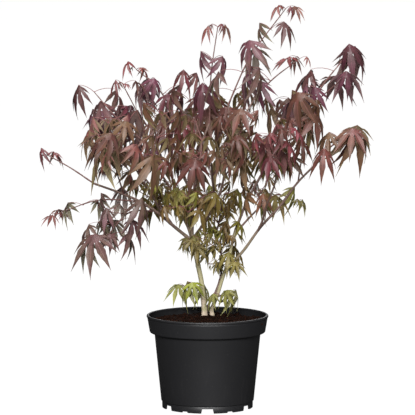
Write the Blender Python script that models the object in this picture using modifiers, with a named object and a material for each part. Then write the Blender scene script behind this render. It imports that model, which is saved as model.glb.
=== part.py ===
"""A young purple-leaved palmate maple in a round nursery pot.

Metres, +Z up, +Y away from the front view. The origin is the centre of the pot's underside.
Limbs grow from three stems by named sizes, and each mass of foliage grows from the tip or the
side of one limb by a seeded rule: leaf pairs at nodes along a stem, each leaf on its own stalk.
"""

import math
import random

import bmesh
import bpy
from mathutils import Matrix, Vector
from mathutils.bvhtree import BVHTree

PART = "potted_palmate_maple"
SEED = 41
CLEARANCE = 0.0003
WELD = 0.000001

# Pot
RIM_RADIUS = 0.0963
LIP_RADIUS = 0.0022
LIP_BEARINGS = (120, 75, 30, -15, -60)
POT_HEIGHT = 0.1470
COLLAR_TOP_RADIUS = 0.0947
COLLAR_LOW_RADIUS = 0.0915
COLLAR_HEIGHT = 0.0276
BODY_TOP_RADIUS = 0.0838
BODY_LOW_RADIUS = 0.0733
BODY_LOW_Z = 0.0105
FOOT_RADIUS = 0.0717
FOOT_WIDTH = 0.0030
WALL = 0.0015
TURN_WELD = 0.0001
FLOOR_Z = 0.0120
FLOOR_THICK = 0.0020
PAD_RADIUS = 0.0150
POT_SIDES = 40

# Notches and drain holes round the foot
NOTCHES = 6
NOTCH_WIDTH = 0.0230
NOTCH_HEIGHT = 0.0072
NOTCH_TAPER = 0.72
DRAIN_RADIUS = 0.0050
DRAIN_CIRCLE = 0.0560
DRAIN_SIDES = 10

# Potting soil
SOIL_EDGE_Z = 0.1350
SOIL_TOP_Z = 0.1405
SOIL_FLAT_RADIUS = 0.0300
SOIL_SHOULDER = 0.72
SOIL_SHOULDER_RISE = 0.0020
SOIL_FIT = 0.00195

# Limbs
LIMB_BEVEL = 1
FLARE = 1.22
FLARE_HEIGHT = 0.012
FLARE_WAIST = (0.40, 0.35)
LIMB_RINGS = 6
KINK = 0.010

# Foliage
STEM_RADIUS = 0.0013
STEM_TIP_RADIUS = 0.0007
STALK_RADIUS = 0.00055
STALK_TURNS = 9
STALK_SHIFT = 0.42
STALK_SHRINK = 0.05
STALK_SHARE = (0.46, 0.72)
STALK_RISE = (2, 38)
LEAF_THICK = 0.014
SPACE_MARGIN = 0.0015
STEM_PIECES = 2
PIECE_SHRINK = 0.98
STALK_TAPER = 0.8
FIRST_RUN = 0.15
FIRST_NODE = 0.32
NODE_SWAY = 0.3
SIDE_BY_SIDE = 45
TIP_FALL = 0.15
YOUNG_FALL = 0.70
SIZE_SPREAD = (0.92, 1.14)

# Lobes of one leaf: bearing from the middle lobe in degrees, share of the leaf's length
LOBES = ((-76, 0.64), (-36, 0.93), (0, 1.0), (36, 0.93), (76, 0.64))
YOUNG_LOBES = ((-44, 0.80), (0, 1.0), (44, 0.80))
YOUNG_LENGTH = 0.032
BROAD_LOBE = 0.70
BELLY_AT = 0.50
BELLY_ANGLE = 12.5
SINUS = 0.27
HEEL = 0.13
HEEL_BEARING = 180.0
HEEL_SEAT = 0.45
LEAF_PITCH = (34, 64)
LEAF_ROLL = 20
LEAF_DROOP = (0.60, 1.15)
HUB_FALL = 0.62
CENTRE_FALL = 0.72
SIDE_FALL = 0.42

# Stems: foot on the soil, tip, radius at the foot, radius at the tip, bow at mid length
STEMS = {
    "stem_left": ((-0.005, 0.018), (-0.026, 0.010, 0.269), 0.0044, 0.0034, (0.003, 0, 0)),
    "stem_right": ((0.007, 0.022), (0.045, 0.012, 0.283), 0.0032, 0.0022, (0.003, 0, 0)),
    "stem_thin": ((-0.001, 0.034), (0.010, 0.042, 0.274), 0.0019, 0.0014, (0.018, 0, 0)),
}

# Boughs: limb that carries it, share of that limb's length, tip, radius at its foot and tip, bow
BOUGHS = {
    "bough_left_low": ("stem_left", 1.0, (-0.178, -0.030, 0.358), 0.0028, 0.0016, (0.009, 0.004, 0.006)),
    "bough_left_mid": ("stem_left", 0.93, (-0.103, 0.034, 0.419), 0.0024, 0.0014, (0.010, 0.004, -0.012)),
    "bough_leader": ("stem_left", 1.0, (0.003, -0.008, 0.450), 0.0030, 0.0016, (-0.009, -0.001, 0.004)),
    "bough_left_upper": (
        "bough_leader", 0.30, (-0.056, 0.080, 0.465), 0.0020, 0.0013, (-0.002, 0.006, -0.010)
    ),
    "bough_middle": ("stem_left", 0.96, (0.032, -0.050, 0.483), 0.0023, 0.0014, (0.021, -0.006, -0.012)),
    "bough_right_low": (
        "stem_right", 0.52, (0.174, -0.032, 0.393), 0.0024, 0.0015, (-0.003, -0.003, -0.002)
    ),
    "bough_right_inner": (
        "stem_right", 0.90, (0.110, 0.070, 0.330), 0.0018, 0.0012, (-0.003, -0.002, 0.004)
    ),
    "bough_right_far": ("stem_right", 1.0, (0.165, 0.028, 0.478), 0.0023, 0.0014, (-0.010, 0, 0.009)),
    "bough_right_high": (
        "bough_middle", 0.62, (0.080, 0.006, 0.497), 0.0016, 0.0011, (-0.004, 0.004, 0.002)
    ),
    "bough_front_left": (
        "bough_left_low", 0.30, (-0.112, -0.118, 0.392), 0.0019, 0.0012, (0.006, 0.004, -0.012)
    ),
    "bough_front": ("bough_middle", 0.34, (0.006, -0.135, 0.400), 0.0019, 0.0012, (0, 0.008, -0.012)),
    "bough_front_right": (
        "bough_right_low", 0.36, (0.108, -0.120, 0.390), 0.0018, 0.0012, (0, 0.008, -0.008)
    ),
    "bough_back_left": (
        "bough_left_mid", 0.34, (-0.128, 0.132, 0.386), 0.0018, 0.0012, (0.004, -0.008, -0.010)
    ),
    "bough_back": ("stem_thin", 1.0, (-0.002, 0.140, 0.410), 0.0013, 0.0011, (0.004, -0.006, -0.010)),
    "bough_back_right": (
        "bough_right_far", 0.30, (0.112, 0.134, 0.432), 0.0017, 0.0012, (0.002, -0.008, -0.008)
    ),
}

STRAIGHT = (0, 0, 0)

# Masses: limb that carries it, share of its length, tip of its stem, nodes, leaf length, colour, bow
MASSES = {
    "leaves_top_left": ("bough_leader", 1.0, (0.016, -0.010, 0.602), 3, 0.072, "purple", (-0.004, 0, 0)),
    "leaves_top_right": ("bough_middle", 1.0, (0.121, -0.056, 0.633), 4, 0.066, "purple", (-0.010, 0, 0)),
    "leaves_upper_left": (
        "bough_left_mid", 1.0, (-0.179, 0.040, 0.496), 3, 0.070, "purple", (-0.006, 0, 0.002)
    ),
    "leaves_upper_left_red": (
        "bough_left_mid", 0.86, (-0.132, -0.020, 0.512), 2, 0.060, "red", (0.006, 0, 0)
    ),
    "leaves_high_left": (
        "bough_left_upper", 1.0, (-0.113, 0.074, 0.529), 3, 0.066, "purple", (0.004, 0, 0.004)
    ),
    "leaves_high_mid": ("bough_leader", 0.84, (-0.032, 0.040, 0.516), 3, 0.054, "red", (-0.004, 0.004, 0)),
    "leaves_high_right": (
        "bough_right_high", 1.0, (0.145, 0.030, 0.549), 2, 0.076, "purple", (-0.004, 0, 0)
    ),
    "leaves_far_right": (
        "bough_right_far", 1.0, (0.220, 0.034, 0.554), 3, 0.070, "purple", (-0.006, 0, -0.002)
    ),
    "leaves_tip_right": (
        "bough_right_far", 0.84, (0.206, -0.030, 0.518), 3, 0.078, "purple", (-0.004, 0, 0)
    ),
    "leaves_side_right": (
        "bough_right_low", 1.0, (0.230, -0.036, 0.438), 3, 0.070, "purple", (-0.010, 0, 0)
    ),
    "leaves_mid_right": (
        "bough_right_low", 0.80, (0.150, -0.056, 0.492), 3, 0.076, "bronze", (0.004, 0, 0)
    ),
    "leaves_low_right": ("bough_right_inner", 1.0, (0.140, 0.070, 0.316), 2, 0.054, "green", (0, 0, 0.004)),
    "leaves_side_left": ("bough_left_low", 1.0, (-0.250, -0.034, 0.403), 1, 0.080, "red", (0, 0, 0.002)),
    "leaves_mid_left": (
        "bough_left_low", 0.72, (-0.150, -0.074, 0.440), 3, 0.070, "bronze", (-0.004, 0, 0)
    ),
    "leaves_low_left": ("bough_left_low", 0.58, (-0.240, 0.030, 0.302), 3, 0.062, "purple", (0, 0, 0.012)),
    "leaves_under_left": (
        "bough_left_low", 0.42, (-0.166, -0.034, 0.264), 3, 0.078, "bronze", (0, 0, 0.022)
    ),
    "leaves_front_left": ("bough_front_left", 1.0, (-0.134, -0.164, 0.434), 2, 0.074, "purple", STRAIGHT),
    "leaves_front_left_high": (
        "bough_front_left", 0.74, (-0.070, -0.136, 0.474), 2, 0.062, "bronze", STRAIGHT
    ),
    "leaves_front": ("bough_front", 1.0, (-0.020, -0.180, 0.415), 2, 0.060, "purple", STRAIGHT),
    "leaves_front_high": ("bough_front", 0.72, (0.066, -0.146, 0.476), 3, 0.054, "purple", STRAIGHT),
    "leaves_front_right": (
        "bough_front_right", 1.0, (0.098, -0.150, 0.444), 3, 0.048, "bronze", (0, 0, 0.004)
    ),
    "leaves_front_low": (
        "bough_front", 0.34, (-0.030, -0.116, 0.322), 2, 0.050, "green", (0, 0, 0.004)
    ),
    "leaves_back_left": ("bough_back_left", 1.0, (-0.150, 0.164, 0.446), 2, 0.066, "bronze", STRAIGHT),
    "leaves_back_left_high": (
        "bough_back_left", 0.66, (-0.090, 0.150, 0.486), 2, 0.062, "purple", STRAIGHT
    ),
    "leaves_back": ("bough_back", 1.0, (-0.014, 0.190, 0.446), 2, 0.066, "purple", STRAIGHT),
    "leaves_back_high": ("bough_back", 0.74, (0.042, 0.130, 0.490), 2, 0.064, "bronze", STRAIGHT),
    "leaves_back_right": ("bough_back_right", 1.0, (0.150, 0.170, 0.463), 2, 0.066, "purple", STRAIGHT),
    "leaves_back_low": ("bough_back_right", 0.50, (0.086, 0.150, 0.372), 2, 0.048, "green", STRAIGHT),
    "leaves_inner_left": ("bough_left_low", 0.20, (-0.096, 0.030, 0.346), 2, 0.062, "green", STRAIGHT),
    "leaves_inner_mid": ("bough_middle", 0.50, (0.066, -0.062, 0.424), 2, 0.062, "bronze", STRAIGHT),
    "leaves_inner_right": ("bough_right_low", 0.50, (0.070, 0.014, 0.352), 2, 0.048, "bronze", STRAIGHT),
    "leaves_core_left": ("bough_left_mid", 0.26, (-0.084, 0.000, 0.342), 2, 0.048, "green", STRAIGHT),
    "leaves_core_mid": ("bough_leader", 0.26, (-0.036, -0.040, 0.330), 3, 0.048, "green", STRAIGHT),
    "leaves_core_high": ("bough_leader", 0.56, (-0.026, -0.046, 0.396), 2, 0.050, "bronze", STRAIGHT),
    "leaves_core_right": ("stem_thin", 0.94, (0.026, -0.006, 0.335), 2, 0.052, "green", STRAIGHT),
    "leaves_core_low": ("stem_thin", 0.66, (0.020, 0.000, 0.288), 2, 0.046, "green", STRAIGHT),
    "leaves_inner_low": ("stem_left", 0.84, (-0.008, -0.036, 0.260), 2, 0.040, "green", STRAIGHT),
    "leaves_inner_low_right": ("stem_right", 0.66, (0.035, -0.014, 0.226), 2, 0.040, "green", STRAIGHT),
    "leaves_foot_left": ("stem_left", 0.28, (-0.036, 0.000, 0.192), 2, 0.046, "lime", (0, 0, 0.006)),
    "leaves_foot_right": ("stem_right", 0.22, (0.037, 0.000, 0.182), 2, 0.040, "lime", STRAIGHT),
}

# Masses whose pairs of leaves stand side by side, seen from the front
OUTER_MASSES = (
    "leaves_top_left",
    "leaves_top_right",
    "leaves_upper_left",
    "leaves_upper_left_red",
    "leaves_high_left",
    "leaves_high_mid",
    "leaves_high_right",
    "leaves_far_right",
    "leaves_tip_right",
    "leaves_side_right",
    "leaves_mid_right",
    "leaves_low_right",
    "leaves_side_left",
    "leaves_low_left",
    "leaves_under_left",
)

# Masses whose leaves shrink to young ones at the tip of the stem
YOUNG_TIPS = (
    "leaves_top_left",
    "leaves_top_right",
    "leaves_upper_left_red",
    "leaves_high_left",
    "leaves_high_right",
    "leaves_side_left",
    "leaves_low_left",
    "leaves_low_right",
)

# Colour, roughness and metallic value of each material
FINISHES = {
    "pot_plastic": ((0.030, 0.031, 0.034), 0.42, 0.0),
    "potting_soil": ((0.020, 0.008, 0.005), 0.95, 0.0),
    "bark": ((0.36, 0.30, 0.20), 0.72, 0.0),
    "purple": ((0.135, 0.060, 0.072), 0.60, 0.0),
    "red": ((0.330, 0.085, 0.080), 0.60, 0.0),
    "bronze": ((0.110, 0.070, 0.030), 0.60, 0.0),
    "green": ((0.140, 0.155, 0.030), 0.60, 0.0),
    "lime": ((0.300, 0.430, 0.050), 0.60, 0.0),
}


def clear_scene():
    for item in list(bpy.data.objects):
        bpy.data.objects.remove(item, do_unlink=True)


def collection(name, parent):
    group = bpy.data.collections.new(name)
    parent.children.link(group)
    return group


def finish(name):
    material = bpy.data.materials.get(name)
    if material:
        return material
    colour, roughness, metallic = FINISHES[name]
    material = bpy.data.materials.new(name)
    material.use_nodes = True
    shader = material.node_tree.nodes["Principled BSDF"]
    shader.inputs["Base Color"].default_value = (*colour, 1.0)
    shader.inputs["Roughness"].default_value = roughness
    shader.inputs["Metallic"].default_value = metallic
    material.diffuse_color = (*colour, 1.0)
    return material


def place(name, mesh, group, material=None):
    item = bpy.data.objects.new(name, mesh)
    group.objects.link(item)
    if material:
        mesh.materials.append(finish(material))
    return item


def mesh_of(bm, name):
    mesh = bpy.data.meshes.new(name)
    bm.to_mesh(mesh)
    bm.free()
    return mesh


def hide_as_cutter(item):
    item.hide_render = True
    item.display_type = "WIRE"


def boolean(item, operation, cutter=None, group=None):
    joint = item.modifiers.new(operation.lower(), "BOOLEAN")
    joint.operation = operation
    joint.solver = "EXACT"
    if group:
        joint.operand_type = "COLLECTION"
        joint.collection = group
    else:
        joint.object = cutter
    return joint


def evaluated_mesh(item):
    bpy.context.view_layer.update()
    graph = bpy.context.evaluated_depsgraph_get()
    return bpy.data.meshes.new_from_object(item.evaluated_get(graph))


def turned(name, profile, group, material):
    """A body turned about Z from (radius, height) points that start and end on the axis."""
    bm = bmesh.new()
    points = [bm.verts.new((radius, 0, height)) for radius, height in profile]
    for first, second in zip(points, points[1:]):
        bm.edges.new((first, second))
    item = place(name, mesh_of(bm, name), group, material)
    screw = item.modifiers.new("turn", "SCREW")
    screw.steps = POT_SIDES
    screw.render_steps = POT_SIDES
    screw.use_merge_vertices = True
    screw.merge_threshold = TURN_WELD
    return item


def collar_low_z():
    return POT_HEIGHT - COLLAR_HEIGHT


def body_radius(z):
    share = (z - BODY_LOW_Z) / (collar_low_z() - BODY_LOW_Z)
    return BODY_LOW_RADIUS + share * (BODY_TOP_RADIUS - BODY_LOW_RADIUS)


def pot_profile():
    """Inside floor, inner wall, rolled lip, outer wall, foot ring, underside and its centre pad."""
    step_z = collar_low_z()
    inside = [
        (0, FLOOR_Z + FLOOR_THICK),
        (body_radius(FLOOR_Z) - 2 * WALL, FLOOR_Z + FLOOR_THICK),
        (BODY_TOP_RADIUS - WALL, step_z + WALL),
        (COLLAR_LOW_RADIUS - WALL, step_z + 2 * WALL),
        (COLLAR_TOP_RADIUS - WALL, POT_HEIGHT - LIP_RADIUS),
    ]
    turns = [math.radians(bearing) for bearing in LIP_BEARINGS]
    lip = [
        (
            RIM_RADIUS - LIP_RADIUS + LIP_RADIUS * math.cos(a),
            POT_HEIGHT - LIP_RADIUS + LIP_RADIUS * math.sin(a),
        )
        for a in turns
    ]
    outside = [
        (COLLAR_TOP_RADIUS, POT_HEIGHT - 2 * LIP_RADIUS - WALL),
        (COLLAR_LOW_RADIUS, step_z + WALL),
        (COLLAR_LOW_RADIUS - WALL, step_z),
        (BODY_TOP_RADIUS, step_z - WALL),
        (BODY_LOW_RADIUS, BODY_LOW_Z + WALL),
        (BODY_LOW_RADIUS - WALL, BODY_LOW_Z),
        (FOOT_RADIUS, BODY_LOW_Z - WALL),
        (FOOT_RADIUS, 0),
        (FOOT_RADIUS - FOOT_WIDTH, 0),
        (FOOT_RADIUS - FOOT_WIDTH, FLOOR_Z),
        (PAD_RADIUS, FLOOR_Z),
        (PAD_RADIUS, 0),
        (0, 0),
    ]
    return inside + lip + outside


def foot_cutters(group):
    """Slanted notches through the foot ring, each with a drain hole through the floor behind it."""
    for index in range(NOTCHES):
        turn = Matrix.Rotation(math.radians(360 / NOTCHES * index - 90), 4, "Z")
        bm = bmesh.new()
        bmesh.ops.create_cube(bm, size=1.0)
        for vert in bm.verts:
            width = NOTCH_WIDTH * (NOTCH_TAPER if vert.co.z > 0 else 1.0)
            vert.co.x *= 4 * FOOT_WIDTH
            vert.co.y *= width
            vert.co.z *= 2 * NOTCH_HEIGHT
        bmesh.ops.transform(
            bm, matrix=turn @ Matrix.Translation((FOOT_RADIUS - FOOT_WIDTH / 2, 0, 0)), verts=bm.verts
        )
        hide_as_cutter(place(f"notch_{index}", mesh_of(bm, "notch"), group))
        bm = bmesh.new()
        bmesh.ops.create_cone(
            bm,
            cap_ends=True,
            segments=DRAIN_SIDES,
            radius1=DRAIN_RADIUS,
            radius2=DRAIN_RADIUS,
            depth=4 * FLOOR_THICK,
        )
        centre = Matrix.Translation((DRAIN_CIRCLE, 0, FLOOR_Z + FLOOR_THICK / 2))
        bmesh.ops.transform(bm, matrix=turn @ centre, verts=bm.verts)
        hide_as_cutter(place(f"drain_{index}", mesh_of(bm, "drain"), group))


def make_pot(parts, cutters):
    pot = turned("pot", pot_profile(), parts, "pot_plastic")
    foot_cutters(cutters)
    boolean(pot, "DIFFERENCE", group=cutters)
    return pot


def make_soil(parts):
    """Fills the pot with a small gap to its wall, slightly heaped, with a flat round the stems."""
    low = FLOOR_Z + FLOOR_THICK + CLEARANCE
    side = SOIL_FIT
    step_z = collar_low_z()
    wall_top = (COLLAR_LOW_RADIUS + COLLAR_TOP_RADIUS) / 2
    profile = [
        (0, SOIL_TOP_Z),
        (SOIL_FLAT_RADIUS, SOIL_TOP_Z),
        (SOIL_SHOULDER * wall_top, SOIL_EDGE_Z + SOIL_SHOULDER_RISE),
        (wall_top - side, SOIL_EDGE_Z),
        (COLLAR_LOW_RADIUS - side, step_z + 3 * WALL),
        (BODY_TOP_RADIUS - side, step_z + 3 * WALL),
        (BODY_TOP_RADIUS - side - WALL / 2, step_z),
        (body_radius(FLOOR_Z) - 2 * WALL - 2 * CLEARANCE, low),
        (0, low),
    ]
    return turned("soil", profile, parts, "potting_soil")


def bowed(start, end, bow, share):
    return start.lerp(end, share) + 4 * share * (1 - share) * bow


def route_of(start, end, bow, rings, kink, draw):
    """Points along a bowed limb, with small seeded kinks between its ends."""
    length = (end - start).length
    points = []
    for index in range(rings):
        share = index / (rings - 1)
        point = bowed(start, end, bow, share)
        if 0 < index < rings - 1:
            point += Vector([draw.uniform(-kink, kink) * length for _ in range(3)])
        points.append(point)
    return points


def along(route, share):
    """The point and direction at a share of a route's length."""
    lengths = [(b - a).length for a, b in zip(route, route[1:])]
    left = share * sum(lengths)
    for a, b, length in zip(route, route[1:], lengths):
        if left <= length + 1e-9:
            return a.lerp(b, left / length), (b - a).normalized()
        left -= length
    return route[-1].copy(), (route[-1] - route[-2]).normalized()


def radius_at(limb, share):
    return limb["foot_radius"] + share * (limb["tip_radius"] - limb["foot_radius"])


def tube(route, radii, sides, name, group, material=None):
    """A closed tube from a bevelled curve, its caps welded."""
    curve = bpy.data.curves.new(name, "CURVE")
    curve.dimensions = "3D"
    curve.bevel_depth = 1.0
    curve.bevel_resolution = sides
    curve.use_fill_caps = True
    spline = curve.splines.new("POLY")
    spline.points.add(len(route) - 1)
    for point, place_at, radius in zip(spline.points, route, radii):
        point.co = (*place_at, 1.0)
        point.radius = radius
    item = bpy.data.objects.new(name, curve)
    group.objects.link(item)
    mesh = evaluated_mesh(item)
    mesh.name = name
    bpy.data.objects.remove(item, do_unlink=True)
    bpy.data.curves.remove(curve)
    bm = bmesh.new()
    bm.from_mesh(mesh)
    bmesh.ops.remove_doubles(bm, verts=bm.verts, dist=10 * WELD)
    bmesh.ops.recalc_face_normals(bm, faces=bm.faces)
    bm.to_mesh(mesh)
    bm.free()
    return place(name, mesh, group, material)


def tree_of(mesh):
    bm = bmesh.new()
    bm.from_mesh(mesh)
    found = BVHTree.FromBMesh(bm)
    bm.free()
    return found


def sleeve_of(limb, workshop):
    """The limb with the clearance all round it, as a cutter and for touch tests."""
    route = [point.copy() for point in limb["route"]]
    route[-1] += (route[-1] - route[-2]).normalized() * CLEARANCE
    radii = [radius + CLEARANCE for radius in limb["radii"]]
    sleeve = tube(route, radii, LIMB_BEVEL, "sleeve", workshop)
    hide_as_cutter(sleeve)
    return sleeve


def seated(item, sleeves):
    """Cuts a limb or twig back to 0.3 mm from each earlier limb that it would touch."""
    for sleeve in sleeves:
        if tree_of(item.data).overlap(tree_of(sleeve.data)):
            boolean(item, "DIFFERENCE", cutter=sleeve)
            cut = evaluated_mesh(item)
            item.modifiers.clear()
            item.data = largest_body(cut)
    return item


def make_limb(name, limb, parts, sleeves):
    solid = tube(limb["route"], limb["radii"], LIMB_BEVEL, name, parts, "bark")
    return seated(solid, sleeves)


def largest_body(mesh):
    """Keeps the largest body whose faces meet edge to edge, and drops loose scraps."""
    bm = bmesh.new()
    bm.from_mesh(mesh)
    bmesh.ops.remove_doubles(bm, verts=bm.verts, dist=WELD)
    left = set(bm.faces)
    bodies = []
    while left:
        seed = left.pop()
        body = [seed]
        for face in body:
            for edge in face.edges:
                found = [other for other in edge.link_faces if other in left]
                body += found
                left.difference_update(found)
        bodies.append(body)
    keep = max(bodies, key=len)
    scraps = [face for body in bodies if body is not keep for face in body]
    if scraps:
        bmesh.ops.delete(bm, geom=scraps, context="FACES")
    bm.to_mesh(mesh)
    bm.free()
    return mesh


def stem_limb(sizes, draw):
    foot, tip, foot_radius, tip_radius, bow = sizes
    start = Vector((*foot, SOIL_TOP_Z + CLEARANCE))
    flare_top = start + Vector((0, 0, FLARE_HEIGHT))
    upper = route_of(flare_top, Vector(tip), Vector(bow), LIMB_RINGS, KINK / 2, draw)
    waist_at, waist_share = FLARE_WAIST
    route = [start, start.lerp(flare_top, waist_at)] + upper
    limb = {"route": route, "foot_radius": foot_radius, "tip_radius": tip_radius}
    last = len(upper) - 1
    straight = [radius_at(limb, index / last) for index in range(len(upper))]
    limb["radii"] = [foot_radius * FLARE, foot_radius * (1 + (FLARE - 1) * waist_share)] + straight
    return limb


def bough_limb(sizes, carrier, draw):
    share, tip, foot_radius, tip_radius, bow = sizes
    start, heading = along(carrier["route"], share)
    if share == 1.0:
        start = start - heading * 2 * carrier["tip_radius"]
    route = route_of(start, Vector(tip), Vector(bow), LIMB_RINGS, KINK, draw)
    limb = {"route": route, "foot_radius": foot_radius, "tip_radius": tip_radius}
    limb["radii"] = [radius_at(limb, index / (LIMB_RINGS - 1)) for index in range(LIMB_RINGS)]
    return limb


def twig(start, end, radius, end_radius):
    """A three-sided tapering twig."""
    heading = end - start
    bm = bmesh.new()
    bmesh.ops.create_cone(
        bm, cap_ends=True, segments=3, radius1=radius, radius2=end_radius, depth=heading.length
    )
    matrix = Matrix.Translation((start + end) / 2) @ heading.to_track_quat("Z", "Y").to_matrix().to_4x4()
    bmesh.ops.transform(bm, matrix=matrix, verts=bm.verts)
    return bm


def leaf_rim(length, lobes):
    """Rim points of a palmate leaf: heel, then belly, tip and belly of each lobe between sinuses."""
    rim = [(HEEL_BEARING, HEEL * length)]
    for index, (bearing, share) in enumerate(lobes):
        reach = share * length
        if index:
            middle = (bearing + lobes[index - 1][0]) / 2
            rim.append((middle, SINUS * length * (0.5 + 0.5 * share)))
        if share > BROAD_LOBE:
            width = BELLY_ANGLE / math.sqrt(share)
            rim.append((bearing - width, BELLY_AT * reach))
            rim.append((bearing, reach))
            rim.append((bearing + width, BELLY_AT * reach))
        else:
            rim.append((bearing, reach))
    return rim


def decline_of(share, bearing, droop):
    """How far a point of a leaf is let down round its stalk: its side lobes and tips furthest."""
    return droop * (HUB_FALL + (1 - HUB_FALL) * share) * (CENTRE_FALL + SIDE_FALL * abs(bearing) / 90)


def leaf(length, lobes, droop):
    """A thin closed palmate leaf: a cone whose lobes hang like a half-closed umbrella."""
    rim = leaf_rim(length, lobes)
    bm = bmesh.new()
    thick = LEAF_THICK * length
    bmesh.ops.create_cone(
        bm, cap_ends=True, cap_tris=True, segments=len(rim), radius1=1.0, radius2=0.0, depth=thick
    )
    edge = [vert for vert in bm.verts if math.hypot(vert.co.x, vert.co.y) > 0.5]
    edge.sort(key=lambda vert: math.atan2(vert.co.y, vert.co.x) % math.tau)
    for vert, (bearing, reach) in zip(edge, rim):
        angle = math.radians(bearing)
        decline = 0.0 if bearing == HEEL_BEARING else decline_of(reach / length, bearing, droop)
        vert.co.x = reach * math.cos(decline) * math.cos(angle)
        vert.co.y = reach * math.cos(decline) * math.sin(angle)
        vert.co.z = -reach * math.sin(decline)
    return bm


def mass_stem(sizes, carrier):
    """Route of a mass's stem, from its limb's tip, or from inside its side, to its own tip."""
    share, tip, bow = sizes
    root, heading = along(carrier["route"], share)
    end = Vector(tip)
    toward = (bowed(root, end, Vector(bow), FIRST_RUN) - root).normalized()
    if share == 1.0:
        start = root + heading * (CLEARANCE + STEM_RADIUS * math.sin(toward.angle(heading)))
    else:
        start = root
    return [bowed(start, end, Vector(bow), index / STEM_PIECES) for index in range(STEM_PIECES + 1)]


def stem_twigs(route):
    """The stem's pieces, each sunk into the one before it."""
    last = len(route) - 1
    radii = [STEM_RADIUS + (STEM_TIP_RADIUS - STEM_RADIUS) * index / last for index in range(last + 1)]
    pieces = []
    for index in range(last):
        start = route[index]
        if index:
            start = start - (route[index + 1] - route[index]).normalized() * radii[index]
        pieces.append(twig(start, route[index + 1], radii[index] * PIECE_SHRINK, radii[index + 1]))
    return pieces


def nearest_on(route, point):
    found = 1.0
    for a, b in zip(route, route[1:]):
        run = b - a
        share = max(0.0, min(1.0, (point - a).dot(run) / run.length_squared))
        found = min(found, (a + run * share - point).length)
    return found


def in_space(bm, name, routes):
    """Whether a shape stays nearer to its own stem than to that of any other mass."""
    for vert in bm.verts:
        own = nearest_on(routes[name], vert.co)
        for other, route in routes.items():
            if other != name and nearest_on(route, vert.co) < own + SPACE_MARGIN:
                return False
    return True


def leaf_matrix(at, outward, pitch, roll):
    """Places a leaf with its middle lobe outward and down by the pitch."""
    ahead = Vector((outward.x, outward.y, 0)).normalized()
    side = Vector((0, 0, 1)).cross(ahead)
    turn = Matrix.Rotation(pitch, 4, side) @ Matrix.Rotation(roll, 4, ahead)
    basis = Matrix((ahead, side, Vector((0, 0, 1)))).transposed().to_4x4()
    return Matrix.Translation(at) @ turn @ basis


def leaf_with_stalk(root, outward, rise, stalk, length, lobes, draw):
    """A stalk that rises outward from the stem, and the leaf that hangs from its end."""
    ahead = Vector((outward.x, outward.y, 0)).normalized()
    top = root + ahead * stalk * math.cos(rise) + Vector((0, 0, stalk * math.sin(rise)))
    pitch = math.radians(draw.uniform(*LEAF_PITCH))
    roll = math.radians(draw.uniform(-LEAF_ROLL, LEAF_ROLL))
    matrix = leaf_matrix(top, ahead, pitch, roll)
    blade = leaf(length, lobes, draw.uniform(*LEAF_DROOP))
    bmesh.ops.transform(blade, matrix=matrix, verts=blade.verts)
    heel = matrix @ Vector((-HEEL * length * HEEL_SEAT, 0, 0))
    run = (heel - root).normalized()
    stem = twig(root, heel + run * STALK_RADIUS * 2, STALK_RADIUS, STALK_RADIUS * STALK_TAPER)
    return stem, blade


def first_turn(name, nodes, draw):
    """Bearing before the first pair: set so that an outer stem's pairs all show from the front."""
    if name in OUTER_MASSES:
        return math.radians(SIDE_BY_SIDE) - nodes * math.pi / 2
    return draw.uniform(0, math.tau)


def grow_mass(name, sizes, routes, own, limbs, draw):
    """The leaves of one mass: opposite pairs at its nodes, each pair turned a quarter from the last."""
    nodes, length = sizes
    fall = YOUNG_FALL if name in YOUNG_TIPS else TIP_FALL
    route = routes[name]
    stalks = []
    blades = []
    shapes = []
    turn = first_turn(name, nodes, draw)
    for node in range(nodes):
        share = 1.0 if node == nodes - 1 else FIRST_NODE + (1 - FIRST_NODE) * node / (nodes - 1)
        root, heading = along(route, share)
        if share == 1.0:
            root = root - heading * STALK_RADIUS
        turn += math.pi / 2 + draw.uniform(-NODE_SWAY, NODE_SWAY)
        size = length * (1 - fall * (share - FIRST_NODE)) * draw.uniform(*SIZE_SPREAD)
        for side in (0, math.pi):
            for attempt in range(STALK_TURNS):
                shift = (attempt + 1) // 2 * (1 if attempt % 2 else -1) * STALK_SHIFT
                bearing = turn + side + shift
                outward = Vector((math.cos(bearing), math.sin(bearing), 0))
                shrink = 1 - STALK_SHRINK * attempt
                stalk = size * draw.uniform(*STALK_SHARE) * shrink
                rise = math.radians(draw.uniform(*STALK_RISE))
                lobes = YOUNG_LOBES if size < YOUNG_LENGTH else LOBES
                stem, blade = leaf_with_stalk(root, outward, rise, stalk, size * shrink, lobes, draw)
                stalk_tree = BVHTree.FromBMesh(stem)
                blade_tree = BVHTree.FromBMesh(blade)
                clear_blade = not any(blade_tree.overlap(other) for other in own + limbs + stalks + blades)
                clear_stalk = not any(stalk_tree.overlap(other) for other in limbs + blades)
                if clear_blade and clear_stalk and in_space(blade, name, routes):
                    stalks.append(stalk_tree)
                    blades.append(blade_tree)
                    shapes += [stem, blade]
                    break
                stem.free()
                blade.free()
    return shapes


def fuse(name, pieces, parts, colour, workshop, sleeves):
    """One Boolean union of a mass's stem with its twigs, stalks and leaves."""
    main = seated(place(name, mesh_of(pieces[0], name), parts, colour), sleeves)
    for index, piece in enumerate(pieces[1:]):
        place(f"piece_{index}", mesh_of(piece, "piece"), workshop)
    boolean(main, "UNION", group=workshop)
    mesh = evaluated_mesh(main)
    main.modifiers.clear()
    main.data = largest_body(mesh)
    for item in list(workshop.objects):
        bpy.data.objects.remove(item, do_unlink=True)
    return main


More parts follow.
